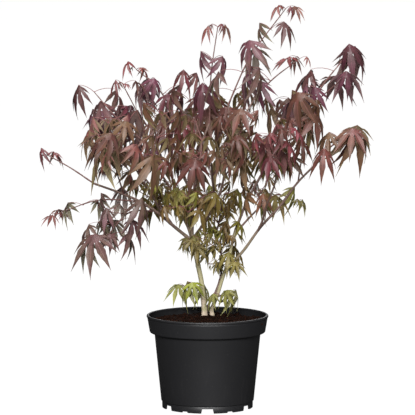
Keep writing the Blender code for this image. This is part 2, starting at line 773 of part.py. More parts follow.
def main():
    clear_scene()
    scene = bpy.context.scene.collection
    parts = collection(PART, scene)
    cutters = collection("cutters", scene)
    workshop = collection("workshop", scene)
    guides = collection("guides", scene)
    make_pot(parts, cutters)
    make_soil(parts)

    limbs = {}
    sleeves = []
    for index, (name, sizes) in enumerate(STEMS.items()):
        limbs[name] = stem_limb(sizes, random.Random(SEED + index))
        make_limb(name, limbs[name], parts, sleeves)
        sleeves.append(sleeve_of(limbs[name], guides))
    for index, (name, (carrier, *sizes)) in enumerate(BOUGHS.items()):
        draw = random.Random(SEED + 10 + index)
        limbs[name] = bough_limb(sizes, limbs[carrier], draw)
        make_limb(name, limbs[name], parts, sleeves)
        sleeves.append(sleeve_of(limbs[name], guides))

    routes = {}
    for name, (carrier, share, tip, _, _, _, bow) in MASSES.items():
        routes[name] = mass_stem((share, tip, bow), limbs[carrier])
    limb_trees = [tree_of(sleeve.data) for sleeve in sleeves]
    stems = {name: stem_twigs(route) for name, route in routes.items()}
    stem_trees = {name: [BVHTree.FromBMesh(piece) for piece in pieces] for name, pieces in stems.items()}
    for index, (name, (_, _, _, nodes, length, colour, _)) in enumerate(MASSES.items()):
        draw = random.Random(SEED + 100 + index)
        shapes = grow_mass(name, (nodes, length), routes, stem_trees[name], limb_trees, draw)
        fuse(name, stems[name] + shapes, parts, colour, workshop, sleeves)
    for sleeve in sleeves:
        bpy.data.objects.remove(sleeve, do_unlink=True)
    bpy.data.collections.remove(guides)
    bpy.data.collections.remove(workshop)


main()
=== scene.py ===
"""Looks of a young purple-leaved palmate maple in a round nursery pot.

Laid out as an add-on and run as a script: one operator for each group of pieces, sizes and
colours in property groups, and a panel that lists them. Metres, +Z up, +Y away from the front.
"""

import math
import random

import bmesh
import bpy
import numpy as np
from bpy.props import FloatProperty, FloatVectorProperty, IntProperty, PointerProperty
from bpy.types import Operator, Panel, PropertyGroup
from mathutils import Matrix, Vector, noise
from mathutils.bvhtree import BVHTree


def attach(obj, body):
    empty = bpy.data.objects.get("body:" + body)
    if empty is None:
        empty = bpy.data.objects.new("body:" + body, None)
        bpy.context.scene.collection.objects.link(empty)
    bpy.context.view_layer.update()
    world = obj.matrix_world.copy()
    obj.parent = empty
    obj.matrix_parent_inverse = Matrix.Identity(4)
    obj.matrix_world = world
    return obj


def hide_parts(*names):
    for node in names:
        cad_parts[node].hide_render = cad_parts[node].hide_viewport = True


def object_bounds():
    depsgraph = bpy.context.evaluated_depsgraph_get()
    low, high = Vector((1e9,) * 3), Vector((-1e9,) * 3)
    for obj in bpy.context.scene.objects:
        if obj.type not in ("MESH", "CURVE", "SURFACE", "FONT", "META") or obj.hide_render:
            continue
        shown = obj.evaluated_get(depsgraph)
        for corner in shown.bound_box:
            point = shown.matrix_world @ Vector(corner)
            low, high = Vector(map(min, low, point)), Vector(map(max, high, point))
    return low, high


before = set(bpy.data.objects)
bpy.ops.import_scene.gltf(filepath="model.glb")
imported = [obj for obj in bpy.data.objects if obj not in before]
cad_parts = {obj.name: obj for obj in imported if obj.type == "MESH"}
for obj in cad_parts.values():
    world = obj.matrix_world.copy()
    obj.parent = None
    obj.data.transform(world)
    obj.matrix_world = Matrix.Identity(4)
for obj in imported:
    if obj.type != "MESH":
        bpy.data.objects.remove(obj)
CAD_BOX = [list(corner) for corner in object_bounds()]

bl_info = {
    "name": "Potted palmate maple",
    "version": (1, 0, 0),
    "blender": (4, 5, 0),
    "location": "View3D > Sidebar > Maple",
    "description": "Pot, compost, bark, twigs and leaves of a young potted maple",
    "category": "Object",
}

BODY = "root"
SEED = 41
BOUGH_SEED = SEED + 10
SPRAY_SEED = SEED + 100
CRUMB_SEED = SEED + 500
UP = Vector((0, 0, 1))

# Pot, as in the solids
RIM_RADIUS = 0.0963
LIP_RADIUS = 0.0022
POT_HEIGHT = 0.1470
COLLAR_TOP_RADIUS = 0.0947
COLLAR_LOW_RADIUS = 0.0915
COLLAR_HEIGHT = 0.0276
STEP_Z = POT_HEIGHT - COLLAR_HEIGHT
BODY_TOP_RADIUS = 0.0838
BODY_LOW_RADIUS = 0.0733
BODY_LOW_Z = 0.0105
FOOT_RADIUS = 0.0717
FOOT_WIDTH = 0.0030
WALL = 0.0015
FLOOR_Z = 0.0120
FLOOR_THICK = 0.0020
PAD_RADIUS = 0.0150
NOTCHES = 6
NOTCH_WIDTH = 0.0230
NOTCH_HEIGHT = 0.0072
NOTCH_TAPER = 0.72
STEP_WIDTH = 0.0125
STEP_HEIGHT = 0.0020
DRAIN_RADIUS = 0.0050
DRAIN_CIRCLE = 0.0560
COLLAR_ROUND = 0.0022
STEP_ROUND = 0.0012
BODY_ROUND = 0.0018
FOOT_ROUND = 0.0005

# Points of the profile, out and down: under the lip from the collar's top, and from the foot's top
NECK = ((0.0002, 0.0008), (0.0, 0.0024))
FOOT_SHOULDER = (0.0001, 0.0004)

# Compost, level round the stems and lower at the wall
SOIL_EDGE_Z = 0.1350
SOIL_TOP_Z = 0.1405
SOIL_FLAT_RADIUS = 0.0300
SOIL_RINGS = 36
SOIL_STEPS = 96
CRUMB_FORMS = 5
CHIP_FORMS = 3
CRUMB_DENT = (-0.35, 0.30)
CHIP_SIZE = 1.5
CHIP_CUBE = 1.6
CHIP_STRETCH = (1.9, 0.28)
CHIP_SKEW = 0.175
CRUMB_SPREAD = (0.45, 1.25)
CRUMB_TILT = (0.5, 0.4)
CRUMB_SINK = 0.25
CLEARANCE = 0.0003

# Lumps in the compost: waves a metre, place in the noise, height
LUMPS = ((95, 0.3, 0.0026), (320, 1.7, 0.0013))

# Limbs: the rule of the solids
FLARE = 1.22
FLARE_HEIGHT = 0.012
FLARE_RING = 0.4
STEM_SUNK = 0.003
LIMB_RINGS = 6
KINK = 0.010
THIN_LIMB = 0.0020
STEM_RADIUS = 0.0013
STEM_TIP_RADIUS = 0.0007
STALK_RADIUS = 0.00055
STEM_PIECES = 2
FIRST_NODE = 0.32
NODE_SWAY = 0.3
SIDE_BY_SIDE = 45
TIP_FALL = 0.15
YOUNG_FALL = 0.70
SIZE_SPREAD = (0.92, 1.14)
STALK_SHIFT = 0.42
STALK_SHRINK = 0.05
STALK_SHARE = (0.46, 0.72)
STALK_RISE = (2, 38)
LEAF_PITCH = (34, 64)
YOUNG_PITCH = (4, 58)
LEAF_ROLL = 20
SPACE_SLACK = 0.006
BOX_MARGIN = 0.0005
LIMB_GAP = 0.001
LIMB_CHECKS = 24

# Finer growth than the solids'
TWIG_TURN = 1.1
TWIG_RISE = 0.15
TWIG_PAIR_RISE = 0.45
TWIG_LEAF = 0.80
TWIG_REACH = (0.6, 1.25)
TWIG_SWAY = 0.4
TWIG_PAIR = (0.8, 1.1)
TWIG_END = (0.45, 0.7)
TWIG_RADIUS = 0.0009
TWIG_TIP_RADIUS = 0.0006
TWIG_SIDES = 7
TWIG_NODES = 4.0
TWIG_NODE_SWELL = 0.25
TWIG_NODE_WIDTH = 0.10
TWIG_AHEAD = 0.75
TWIG_OUTWARD = 0.9
TWIG_SAG = 0.001
TWIG_RING_GAP = 0.006
YOUNG_EXTRA = (0.35, 0.65)
STALK_SIDES = 5
STALK_RINGS = 4
STALK_TAPER = 0.35
STALK_BEND = 0.10
STALK_LEAST = 0.55
STALK_MORE = 0.45
STALK_FULL_LEAF = 0.06
TONE_DRAWS = 100

# Bark relief: flare and ridges at a stem's foot, swollen nodes, and wrinkles by round and along
FLARE_FALL = 1.6
NODE_GAP = 0.034
NODE_STAGGER = 0.37
NODE_SWELL = 0.13
NODE_WIDTH = 0.055
RIDGES = 3
RIDGE_DEPTH = 0.12
RIDGE_HEIGHT = 0.010
WRINKLES = (1.3, 34)
FINE_WRINKLES = (4.0, 260)
FINE_SHARE = 0.5

STRAIGHT = (0, 0, 0)

# Stems: foot on the soil, tip, radius at the foot, radius at the tip, bow at mid length; places in mm
STEMS = {
    "stem_left": ((-5, 18), (-26, 10, 269), 0.0044, 0.0034, (3, 0, 0)),
    "stem_right": ((7, 22), (45, 12, 283), 0.0032, 0.0022, (3, 0, 0)),
    "stem_thin": ((-1, 34), (10, 42, 274), 0.0019, 0.0014, (18, 0, 0)),
}

# Boughs: limb that carries it, share of that limb's length, tip, radius at its foot and tip, bow
BOUGHS = {
    "bough_left_low": ("stem_left", 1.00, (-178, -30, 358), 0.0028, 0.0016, (9, 4, 6)),
    "bough_left_mid": ("stem_left", 0.93, (-103, 34, 419), 0.0024, 0.0014, (10, 4, -12)),
    "bough_leader": ("stem_left", 1.00, (3, -8, 450), 0.0030, 0.0016, (-9, -1, 4)),
    "bough_left_upper": ("bough_leader", 0.30, (-56, 80, 465), 0.0020, 0.0013, (-2, 6, -10)),
    "bough_middle": ("stem_left", 0.96, (32, -50, 483), 0.0023, 0.0014, (21, -6, -12)),
    "bough_right_low": ("stem_right", 0.52, (174, -32, 393), 0.0024, 0.0015, (-3, -3, -2)),
    "bough_right_inner": ("stem_right", 0.90, (110, 70, 330), 0.0018, 0.0012, (-3, -2, 4)),
    "bough_right_far": ("stem_right", 1.00, (165, 28, 478), 0.0023, 0.0014, (-10, 0, 9)),
    "bough_right_high": ("bough_middle", 0.62, (80, 6, 497), 0.0016, 0.0011, (-4, 4, 2)),
    "bough_front_left": ("bough_left_low", 0.30, (-112, -118, 392), 0.0019, 0.0012, (6, 4, -12)),
    "bough_front": ("bough_middle", 0.34, (6, -135, 400), 0.0019, 0.0012, (0, 8, -12)),
    "bough_front_right": ("bough_right_low", 0.36, (108, -120, 390), 0.0018, 0.0012, (0, 8, -8)),
    "bough_back_left": ("bough_left_mid", 0.34, (-128, 132, 386), 0.0018, 0.0012, (4, -8, -10)),
    "bough_back": ("stem_thin", 1.00, (-2, 140, 410), 0.0013, 0.0011, (4, -6, -10)),
    "bough_back_right": ("bough_right_far", 0.30, (112, 134, 432), 0.0017, 0.0012, (2, -8, -8)),
}

# Masses: limb that carries it, share of its length, tip of its stem, nodes, leaf length, colour, bow,
# side twigs at a node (none where the photo shows sky), number of its seeded draw, and whether its
# pairs stand side by side, seen from the front (outer), and end in young leaves (young)
MASSES = {
    "top_left": ("bough_leader", 1.0, (16, -10, 602), 3, 72, "purple", (-4, 0, 0), 0, 29, "outer young"),
    "top_right": ("bough_middle", 1.0, (121, -56, 633), 4, 66, "dusky", (-10, 0, 0), 0, 31, "outer young"),
    "upper_left": ("bough_left_mid", 1.0, (-179, 40, 496), 3, 70, "purple", (-6, 0, 2), 0, 29, "outer"),
    "upper_left_red": (
        "bough_left_mid", 0.86, (-132, -20, 512), 2, 60, "red", (6, 0, 0), 0, 37, "outer young"
    ),
    "high_left": (
        "bough_left_upper", 1.0, (-113, 74, 529), 3, 66, "purple", (4, 0, 4), 0, 11, "outer young"
    ),
    "high_mid": ("bough_leader", 0.84, (-32, 40, 516), 3, 54, "red", (-4, 4, 0), 0, 27, "outer"),
    "high_right": (
        "bough_right_high", 1.0, (145, 30, 549), 2, 76, "purple", (-4, 0, 0), 0, 20, "outer young"
    ),
    "far_right": ("bough_right_far", 1.0, (220, 34, 554), 3, 70, "purple", (-6, 0, -2), 0, 8, "outer"),
    "tip_right": ("bough_right_far", 0.84, (206, -30, 518), 3, 78, "purple", (-4, 0, 0), 0, 10, "outer"),
    "side_right": ("bough_right_low", 1.0, (230, -36, 438), 3, 70, "russet", (-10, 0, 0), 0, 30, "outer"),
    "mid_right": ("bough_right_low", 0.8, (150, -56, 492), 3, 76, "wine", (4, 0, 0), 1, 34, "outer"),
    "low_right": ("bough_right_inner", 1.0, (140, 70, 316), 2, 54, "fresh", (0, 0, 4), 0, 48, "outer young"),
    "side_left": ("bough_left_low", 1.0, (-250, -34, 403), 1, 80, "red", (0, 0, 2), 0, 2, "outer young"),
    "mid_left": ("bough_left_low", 0.72, (-150, -74, 440), 3, 70, "russet", (-4, 0, 0), 3, 9, ""),
    "low_left": ("bough_left_low", 0.58, (-240, 30, 302), 3, 62, "dusky", (0, 0, 12), 0, 48, "outer young"),
    "under_left": ("bough_left_low", 0.42, (-166, -34, 264), 3, 78, "dusky", (0, 0, 22), 1, 30, "outer"),
    "front_left": ("bough_front_left", 1.0, (-134, -164, 434), 2, 74, "russet", STRAIGHT, 1, 56, ""),
    "front_left_high": ("bough_front_left", 0.74, (-70, -136, 474), 2, 62, "wine", STRAIGHT, 1, 19, ""),
    "front": ("bough_front", 1.0, (-20, -180, 415), 2, 60, "wine", STRAIGHT, 1, 8, ""),
    "front_high": ("bough_front", 0.72, (66, -146, 476), 3, 54, "wine", STRAIGHT, 1, 8, ""),
    "front_right": ("bough_front_right", 1.0, (98, -150, 444), 3, 48, "red", (0, 0, 4), 1, 10, ""),
    "front_low": ("bough_front", 0.34, (-30, -116, 322), 2, 50, "green", (0, 0, 4), 1, 0, ""),
    "back_left": ("bough_back_left", 1.0, (-150, 164, 446), 2, 66, "purple", STRAIGHT, 2, 24, ""),
    "back_left_high": ("bough_back_left", 0.66, (-90, 150, 486), 2, 62, "purple", STRAIGHT, 1, 37, ""),
    "back": ("bough_back", 1.0, (-14, 190, 446), 2, 66, "wine", STRAIGHT, 1, 2, ""),
    "back_high": ("bough_back", 0.74, (42, 130, 490), 2, 64, "wine", STRAIGHT, 1, 3, ""),
    "back_right": ("bough_back_right", 1.0, (150, 170, 463), 2, 66, "wine", STRAIGHT, 1, 7, ""),
    "back_low": ("bough_back_right", 0.5, (86, 150, 372), 2, 48, "green", STRAIGHT, 1, 0, ""),
    "inner_left": ("bough_left_low", 0.2, (-96, 30, 346), 2, 62, "green", STRAIGHT, 4, 9, ""),
    "inner_mid": ("bough_middle", 0.5, (66, -62, 424), 2, 62, "bronze", STRAIGHT, 4, 1, ""),
    "inner_right": ("bough_right_low", 0.5, (70, 14, 352), 2, 48, "bronze", STRAIGHT, 1, 0, ""),
    "core_left": ("bough_left_mid", 0.26, (-84, 0, 342), 2, 48, "green", STRAIGHT, 4, 0, ""),
    "core_mid": ("bough_leader", 0.26, (-36, -40, 330), 3, 48, "green", STRAIGHT, 5, 11, ""),
    "core_high": ("bough_leader", 0.56, (-26, -46, 396), 2, 50, "wine", STRAIGHT, 5, 4, ""),
    "core_right": ("stem_thin", 0.94, (26, -6, 335), 2, 52, "green", STRAIGHT, 5, 3, ""),
    "core_low": ("stem_thin", 0.66, (20, 0, 288), 2, 46, "green", STRAIGHT, 4, 9, ""),
    "inner_low": ("stem_left", 0.84, (-8, -36, 260), 2, 40, "fresh", STRAIGHT, 4, 7, ""),
    "inner_low_right": ("stem_right", 0.66, (35, -14, 226), 2, 40, "fresh", STRAIGHT, 1, 0, ""),
    "foot_left": ("stem_left", 0.28, (-36, 0, 192), 2, 46, "lime", (0, 0, 6), 0, 0, ""),
    "foot_right": ("stem_right", 0.22, (37, 0, 182), 2, 40, "lime", STRAIGHT, 0, 0, ""),
}

# Fine leaf: bearing and share of each lobe
LEAF_FORMS = {
    "seven": ((-98, 0.38), (-68, 0.68), (-34, 0.93), (0, 1.0), (34, 0.93), (68, 0.68), (98, 0.38)),
    "five": ((-74, 0.64), (-37, 0.93), (0, 1.0), (37, 0.93), (74, 0.64)),
    "young": ((-62, 0.62), (-31, 0.90), (0, 1.0), (31, 0.90), (62, 0.62)),
}

# Leaf templates: form, droop, fold, curl, widest half width of a lobe
GROWN_LEAVES = (
    ("seven", 0.60, 0.60, 0.6, 0.112),
    ("seven", 0.85, 0.75, 1.0, 0.120),
    ("seven", 1.10, 0.50, 0.3, 0.115),
    ("five", 0.70, 0.65, 0.8, 0.126),
    ("five", 0.95, 0.80, 0.5, 0.122),
    ("five", 1.15, 0.60, 1.2, 0.130),
)
YOUNG_LEAVES = (
    ("young", 0.35, 0.9, 1.4, 0.095),
    ("young", 0.70, 0.9, 1.4, 0.095),
    ("young", 1.10, 0.9, 1.4, 0.095),
)
SINUS = 0.19
WEB_STATIONS = 2
BLADE_STATIONS = 10
BELLY_AT = 0.38
HUB_FALL = 0.62
CENTRE_FALL = 0.72
SIDE_FALL = 0.42
LOBE_LIFT = 0.10
LOBE_SWAY = 0.2
SWAY_BY_BEARING = 7.3
TIP_FULLNESS = 0.9
TIP_DRAWN_OUT = 1.7
TOOTH = 0.10
LEAF_THICKNESS = 0.006
UPPER_SLOPE = 0.02
OUTER_HALF_GAP = 17.0

# Leaf colours dealt out by spray: upper side, lower side
TONES = {
    "purple": [
        ((0.090, 0.024, 0.038), (0.158, 0.082, 0.090)), ((0.057, 0.016, 0.023), (0.120, 0.060, 0.060)),
        ((0.120, 0.038, 0.059), (0.190, 0.101, 0.115)), ((0.082, 0.030, 0.030), (0.149, 0.087, 0.073)),
        ((0.098, 0.022, 0.033), (0.163, 0.075, 0.078)),
    ],
    "dusky": [
        ((0.128, 0.049, 0.062), (0.224, 0.170, 0.148)), ((0.081, 0.033, 0.038), (0.170, 0.125, 0.099)),
        ((0.107, 0.050, 0.051), (0.239, 0.202, 0.132)), ((0.170, 0.078, 0.096), (0.270, 0.209, 0.187)),
        ((0.117, 0.062, 0.048), (0.213, 0.181, 0.119)), ((0.122, 0.057, 0.058), (0.267, 0.242, 0.167)),
    ],
    "wine": [
        ((0.099, 0.031, 0.026), (0.173, 0.108, 0.060)), ((0.063, 0.021, 0.015), (0.131, 0.078, 0.040)),
        ((0.131, 0.049, 0.040), (0.208, 0.132, 0.077)), ((0.090, 0.039, 0.020), (0.163, 0.115, 0.049)),
        ((0.107, 0.028, 0.022), (0.178, 0.099, 0.052)),
    ],
    "russet": [
        ((0.137, 0.049, 0.045), (0.241, 0.170, 0.107)), ((0.087, 0.033, 0.027), (0.183, 0.124, 0.071)),
        ((0.183, 0.078, 0.070), (0.289, 0.210, 0.136)), ((0.126, 0.062, 0.035), (0.228, 0.181, 0.086)),
        ((0.149, 0.046, 0.039), (0.248, 0.156, 0.092)),
    ],
    "red": [
        ((0.157, 0.030, 0.040), (0.221, 0.085, 0.085)), ((0.110, 0.023, 0.032), (0.170, 0.073, 0.070)),
        ((0.095, 0.031, 0.026), (0.153, 0.081, 0.061)),
    ],
    "coral": [
        ((0.170, 0.044, 0.046), (0.230, 0.105, 0.095)), ((0.220, 0.065, 0.055), (0.280, 0.135, 0.110)),
        ((0.128, 0.034, 0.040), (0.195, 0.090, 0.085)),
    ],
    "bronze": [
        ((0.165, 0.084, 0.041), (0.281, 0.198, 0.086)), ((0.182, 0.075, 0.047), (0.281, 0.178, 0.098)),
        ((0.134, 0.092, 0.027), (0.263, 0.209, 0.073)), ((0.209, 0.117, 0.058), (0.329, 0.239, 0.114)),
        ((0.120, 0.056, 0.029), (0.227, 0.147, 0.067)),
    ],
    "green": [
        ((0.135, 0.103, 0.017), (0.250, 0.209, 0.052)), ((0.165, 0.146, 0.021), (0.280, 0.250, 0.062)),
        ((0.104, 0.070, 0.015), (0.215, 0.162, 0.048)), ((0.138, 0.083, 0.025), (0.245, 0.179, 0.063)),
        ((0.205, 0.193, 0.030), (0.310, 0.287, 0.080)),
    ],
    "fresh": [
        ((0.235, 0.218, 0.050), (0.340, 0.330, 0.108)), ((0.190, 0.165, 0.041), (0.300, 0.281, 0.099)),
        ((0.150, 0.116, 0.032), (0.260, 0.233, 0.081)),
    ],
    "lime": [
        ((0.304, 0.338, 0.042), (0.392, 0.395, 0.126)), ((0.211, 0.202, 0.053), (0.304, 0.282, 0.126)),
    ],
}

# Colour that each tone turns to in patches and at its tips: upper side, lower side
CASTS = {
    "purple": ((0.080, 0.036, 0.035), (0.152, 0.102, 0.086)),
    "dusky": ((0.124, 0.086, 0.055), (0.216, 0.185, 0.123)),
    "wine": ((0.078, 0.042, 0.021), (0.159, 0.120, 0.052)),
    "russet": ((0.129, 0.078, 0.040), (0.232, 0.184, 0.097)),
    "red": ((0.089, 0.035, 0.026), (0.153, 0.103, 0.065)),
    "coral": ((0.120, 0.042, 0.036), (0.180, 0.100, 0.075)),
    "bronze": ((0.116, 0.085, 0.022), (0.250, 0.215, 0.076)),
    "green": ((0.118, 0.066, 0.020), (0.230, 0.164, 0.060)),
    "fresh": ((0.180, 0.136, 0.045), (0.280, 0.242, 0.099)),
    "lime": ((0.180, 0.190, 0.045), (0.260, 0.260, 0.110)),
}

# Slot of the tones that share one
LEAF_SLOTS = {
    "dusky": "leaves_purple",
    "wine": "leaves_purple",
    "russet": "leaves_bronze",
    "coral": "leaves_red",
    "fresh": "leaves_green",
}

# Tone of the young leaves at a stem's tip, where it isn't the spray's own
TIP_TONE = {"purple": "coral", "dusky": "coral", "red": "coral", "russet": "coral"}

# Upper and lower side of a leaf: brightening of its veins, share of veins and blotches, roughness
# over the setting, ending of the material's name
LEAF_SIDES = ((1.9, 0.42, 0.45, 0.0, ""), (1.25, 0.34, 0.15, 0.12, "_under"))
VEIN_LIFT = 0.02
LEAF_TURNED = 0.65

# Where the roughness is a setting: strength and depth of the relief, specular level
PLASTIC_RELIEF = (0.12, 0.0002, 0.42)
LEAF_RELIEF = (0.35, 0.0003, 0.38)

# Finishes: roughness, strength and depth of the relief, specular level
COMPOST_FINISH = (0.9, 0.9, 0.0012, 0.06)
STEM_FINISH = (0.62, 0.45, 0.0004, 0.4)
BOUGH_FINISH = (0.60, 0.45, 0.0004, 0.4)
PURPLE_FINISH = (0.55, 0.35, 0.0003, 0.4)
TWIG_FINISH = (0.55, 0.3, 0.0002, 0.4)
STALK_FINISH = (0.45, 0.1, 0.0001, 0.45)

# Base colour that a shader group's colour inputs start from
GREY = (0.5, 0.5, 0.5, 1)

# Soft lights: place, width, power
LIGHTS = {
    "front": ((-0.4, -3.7, 1.7), 1.3, 185.0),
    "side": ((1.2, -3.4, 1.3), 1.2, 45.0),
    "top": ((0.0, -0.6, 3.2), 1.8, 95.0),
    "back": ((0.3, 3.4, 1.9), 1.8, 26.0),
}
LIGHT_AIM = Vector((0, 0, 0.3))
DIM_SKY = {"Color": (0.97, 0.98, 1.0), "Strength": 0.055}
FLOOR_RADIUS = 60.0
VIEW_END = 200


def measure(name, description, default):
    return FloatProperty(name=name, description=description, default=default, unit="LENGTH")


def tint(name, description, default):
    return FloatVectorProperty(name=name, description=description, default=default, subtype="COLOR")


def factor(name, description, default):
    return FloatProperty(
        name=name, description=description, default=default, min=0, max=1, subtype="FACTOR"
    )


def number(name, description, default, least):
    return IntProperty(name=name, description=description, default=default, min=least)


class PotSettings(PropertyGroup):
    rim_radius: measure("Rim radius", "Half the width across the lip", RIM_RADIUS)
    turn_steps: number("Turn steps", "Faces round the pot", 144, 12)
    notch_height: measure("Notch height", "Height of the foot's notches", NOTCH_HEIGHT)
    colour: tint("Plastic", "Colour of the plastic", (0.0135, 0.0135, 0.0148))
    scuff: tint("Scuffs", "Colour of dust and scuffs", (0.070, 0.068, 0.066))
    scuffed: factor("Scuffed", "Strength of the scuffs", 0.18)
    roughness: factor("Roughness", "Roughness of the plastic", 0.46)


class CompostSettings(PropertyGroup):
    crumbs: number("Crumbs", "Loose crumbs on the compost", 1500, 0)
    chips: number("Chips", "Bark chips among the crumbs", 260, 0)
    crumb_size: measure("Crumb size", "Usual half width of a crumb", 0.0018)
    colour: tint("Compost", "Colour when moist", (0.0085, 0.0034, 0.0020))
    dry: tint("Dry bits", "Colour when dry", (0.032, 0.0100, 0.0050))


class BarkSettings(PropertyGroup):
    sides: number("Sides", "Faces round a stem", 20, 6)
    ring_gap: measure("Ring gap", "Length between rings of a limb", 0.0022)
    relief: factor("Relief", "Bark relief as a share of the radius", 0.07)
    low: tint("Old bark", "Bark low on the stems", (0.40, 0.365, 0.205))
    foot: tint("Foot", "Bark at the soil", (0.52, 0.42, 0.32))
    middle: tint("Bough bark", "Bark of low boughs", (0.235, 0.185, 0.120))
    high: tint("Young bark", "Bark of upper boughs", (0.185, 0.115, 0.095))


class FoliageSettings(PropertyGroup):
    side_twig: measure("Side twig", "Length of a side twig", 0.034)
    extra_nodes: number("More nodes", "Nodes added to each stem", 1, 0)
    tries: number("Tries", "Turns tried before a leaf is left out", 9, 1)
    twig: tint("Twigs", "Colour of twigs", (0.150, 0.068, 0.060))
    stalk: tint("Stalks", "Colour of leaf stalks", (0.205, 0.060, 0.062))
    roughness: factor("Roughness", "Roughness of the leaves", 0.45)


class StageSettings(PropertyGroup):
    distance: measure("Distance", "Camera to plant", 6.0)
    height: measure("Height", "Camera above the floor", 0.98)
    aim: FloatVectorProperty(
        name="Aim", description="Point the camera looks at", default=(0.0, 0.0, 0.3168), subtype="TRANSLATION"
    )
    frame_width: measure("Frame width", "Width of view at the plant", 0.6530)


def settings():
    return bpy.context.scene.maple


# Shapes shared by the pieces


def show(name, mesh, material, replaced=()):
    """A finished piece: at the origin, on the plant's body, with its place in its mesh."""
    piece = linked(name, mesh)
    for one in material if isinstance(material, list) else [material]:
        mesh.materials.append(one)
    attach(piece, BODY)
    if replaced:
        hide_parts(*replaced)


def linked(name, data):
    item = bpy.data.objects.new(name, data)
    bpy.context.scene.collection.objects.link(item)
    return item


def mesh_of(bm, name):
    mesh = bpy.data.meshes.new(name)
    bm.to_mesh(mesh)
    bm.free()
    return mesh


def shaded(mesh, sharp_angle):
    mesh.shade_smooth()
    mesh.set_sharp_from_angle(angle=math.radians(sharp_angle))
    return mesh


def arrays_of(bm):
    """Vertices, triangles, face slots and loop UVs of a template, as arrays."""
    bmesh.ops.triangulate(bm, faces=bm.faces)
    bm.verts.index_update()
    uv = bm.loops.layers.uv.verify()
    verts = np.array([vert.co[:] for vert in bm.verts])
    faces = np.array([[vert.index for vert in face.verts] for face in bm.faces])
    slots = np.array([face.material_index for face in bm.faces])
    uvs = np.array([loop[uv].uv[:] for face in bm.faces for loop in face.loops])
    bm.free()
    return verts, faces, slots, uvs


def moved(points, matrix):
    turn = np.array(matrix)
    return points @ turn[:3, :3].T + turn[:3, 3]


def joined(name, placed, sharp_angle=50):
    """One mesh from many placed templates: each a template's arrays, a matrix and a slot map."""
    verts, faces, slots, uvs = [], [], [], []
    start = 0
    for (points, tris, kinds, coords), matrix, slot_map in placed:
        verts.append(moved(points, matrix))
        faces.append(tris + start)
        slots.append(np.array(slot_map)[kinds])
        uvs.append(coords)
        start += len(points)
    mesh = bpy.data.meshes.new(name)
    mesh.from_pydata(np.concatenate(verts).tolist(), [], np.concatenate(faces).tolist())
    mesh.polygons.foreach_set("material_index", np.concatenate(slots).astype(np.int32))
    layer = mesh.uv_layers.new(name="UVMap")
    layer.data.foreach_set("uv", np.concatenate(uvs).astype(np.float32).ravel())
    return shaded(mesh, sharp_angle)


def metres(place):
    """A table's place, given in millimetres."""
    return Vector([part / 1000 for part in place])


def bowed(start, end, bow, share):
    return start.lerp(end, share) + 4 * share * (1 - share) * bow


def route_of(start, end, bow, rings, kink, draw):
    """Points along a bowed limb, with small seeded kinks between its ends."""
    length = (end - start).length
    points = []
    for index in range(rings):
        point = bowed(start, end, bow, index / (rings - 1))
        if 0 < index < rings - 1:
            point += Vector([draw.uniform(-kink, kink) * length for _ in range(3)])
        points.append(point)
    return points


def lengths_of(route):
    return [(b - a).length for a, b in zip(route, route[1:])]


def along(route, share):
    """The point and direction at a share of a route's length."""
    lengths = lengths_of(route)
    left = share * sum(lengths)
    for a, b, length in zip(route, route[1:], lengths):
        if left <= length + 1e-9:
            return a.lerp(b, left / length), (b - a).normalized()
        left -= length
    return route[-1].copy(), (route[-1] - route[-2]).normalized()


def smooth_route(route, gap):
    """Points a small gap apart on a smooth curve through a route."""
    points = []
    last = len(route) - 2
    for index in range(last + 1):
        p1, p2 = route[index], route[index + 1]
        p0 = route[index - 1] if index else p1 * 2 - p2
        p3 = route[index + 2] if index < last else p2 * 2 - p1
        square = 2 * p0 - 5 * p1 + 4 * p2 - p3
        cube = 3 * p1 - p0 - 3 * p2 + p3
        count = max(1, round((p2 - p1).length / gap))
        for step in range(count):
            t = step / count
            points.append(0.5 * (2 * p1 + (p2 - p0) * t + square * t * t + cube * t * t * t))
    points.append(route[-1].copy())
    return points


def rolled(sides, rings, place_at):
    """A closed tube: a grid rolled up by a rule of ring and angle, and welded at its seam."""
    bm = bmesh.new()
    bm.loops.layers.uv.new("UVMap")
    bmesh.ops.create_grid(bm, x_segments=sides, y_segments=rings, size=0.5, calc_uvs=True)
    for vert in bm.verts:
        ring = round((vert.co.y + 0.5) * rings)
        vert.co = place_at(ring, (vert.co.x + 0.5) * math.tau)
    bmesh.ops.remove_doubles(bm, verts=bm.verts, dist=1e-7)
    bmesh.ops.holes_fill(bm, edges=[edge for edge in bm.edges if edge.is_boundary], sides=sides + 2)
    bmesh.ops.recalc_face_normals(bm, faces=bm.faces)
    return bm


def tube(points, radius_at, sides):
    """A closed tube swept along points."""
    rings = len(points) - 1
    headings = []
    for index in range(rings + 1):
        ahead = points[min(index + 1, rings)] - points[max(index - 1, 0)]
        headings.append(ahead.normalized())
    across = [headings[0].orthogonal().normalized()]
    for heading in headings[1:]:
        side = across[-1] - heading * across[-1].dot(heading)
        across.append(side.normalized())

    def place_at(ring, angle):
        side = across[ring]
        out = side * math.cos(angle) + headings[ring].cross(side) * math.sin(angle)
        return points[ring] + out * radius_at(ring / rings, points[ring], out)

    return rolled(sides, rings, place_at)


def turned_bmesh(profile, steps):
    """A closed turned body from a profile that starts and ends on the axis."""
    bm = bmesh.new()
    verts = [bm.verts.new((radius, 0, height)) for radius, height in profile]
    edges = [bm.edges.new(pair) for pair in zip(verts, verts[1:])]
    bmesh.ops.spin(
        bm, geom=verts + edges, cent=(0, 0, 0), axis=(0, 0, 1), angle=math.tau, steps=steps, use_merge=True
    )
    bmesh.ops.remove_doubles(bm, verts=bm.verts, dist=1e-6)
    bmesh.ops.recalc_face_normals(bm, faces=bm.faces)
    return bm


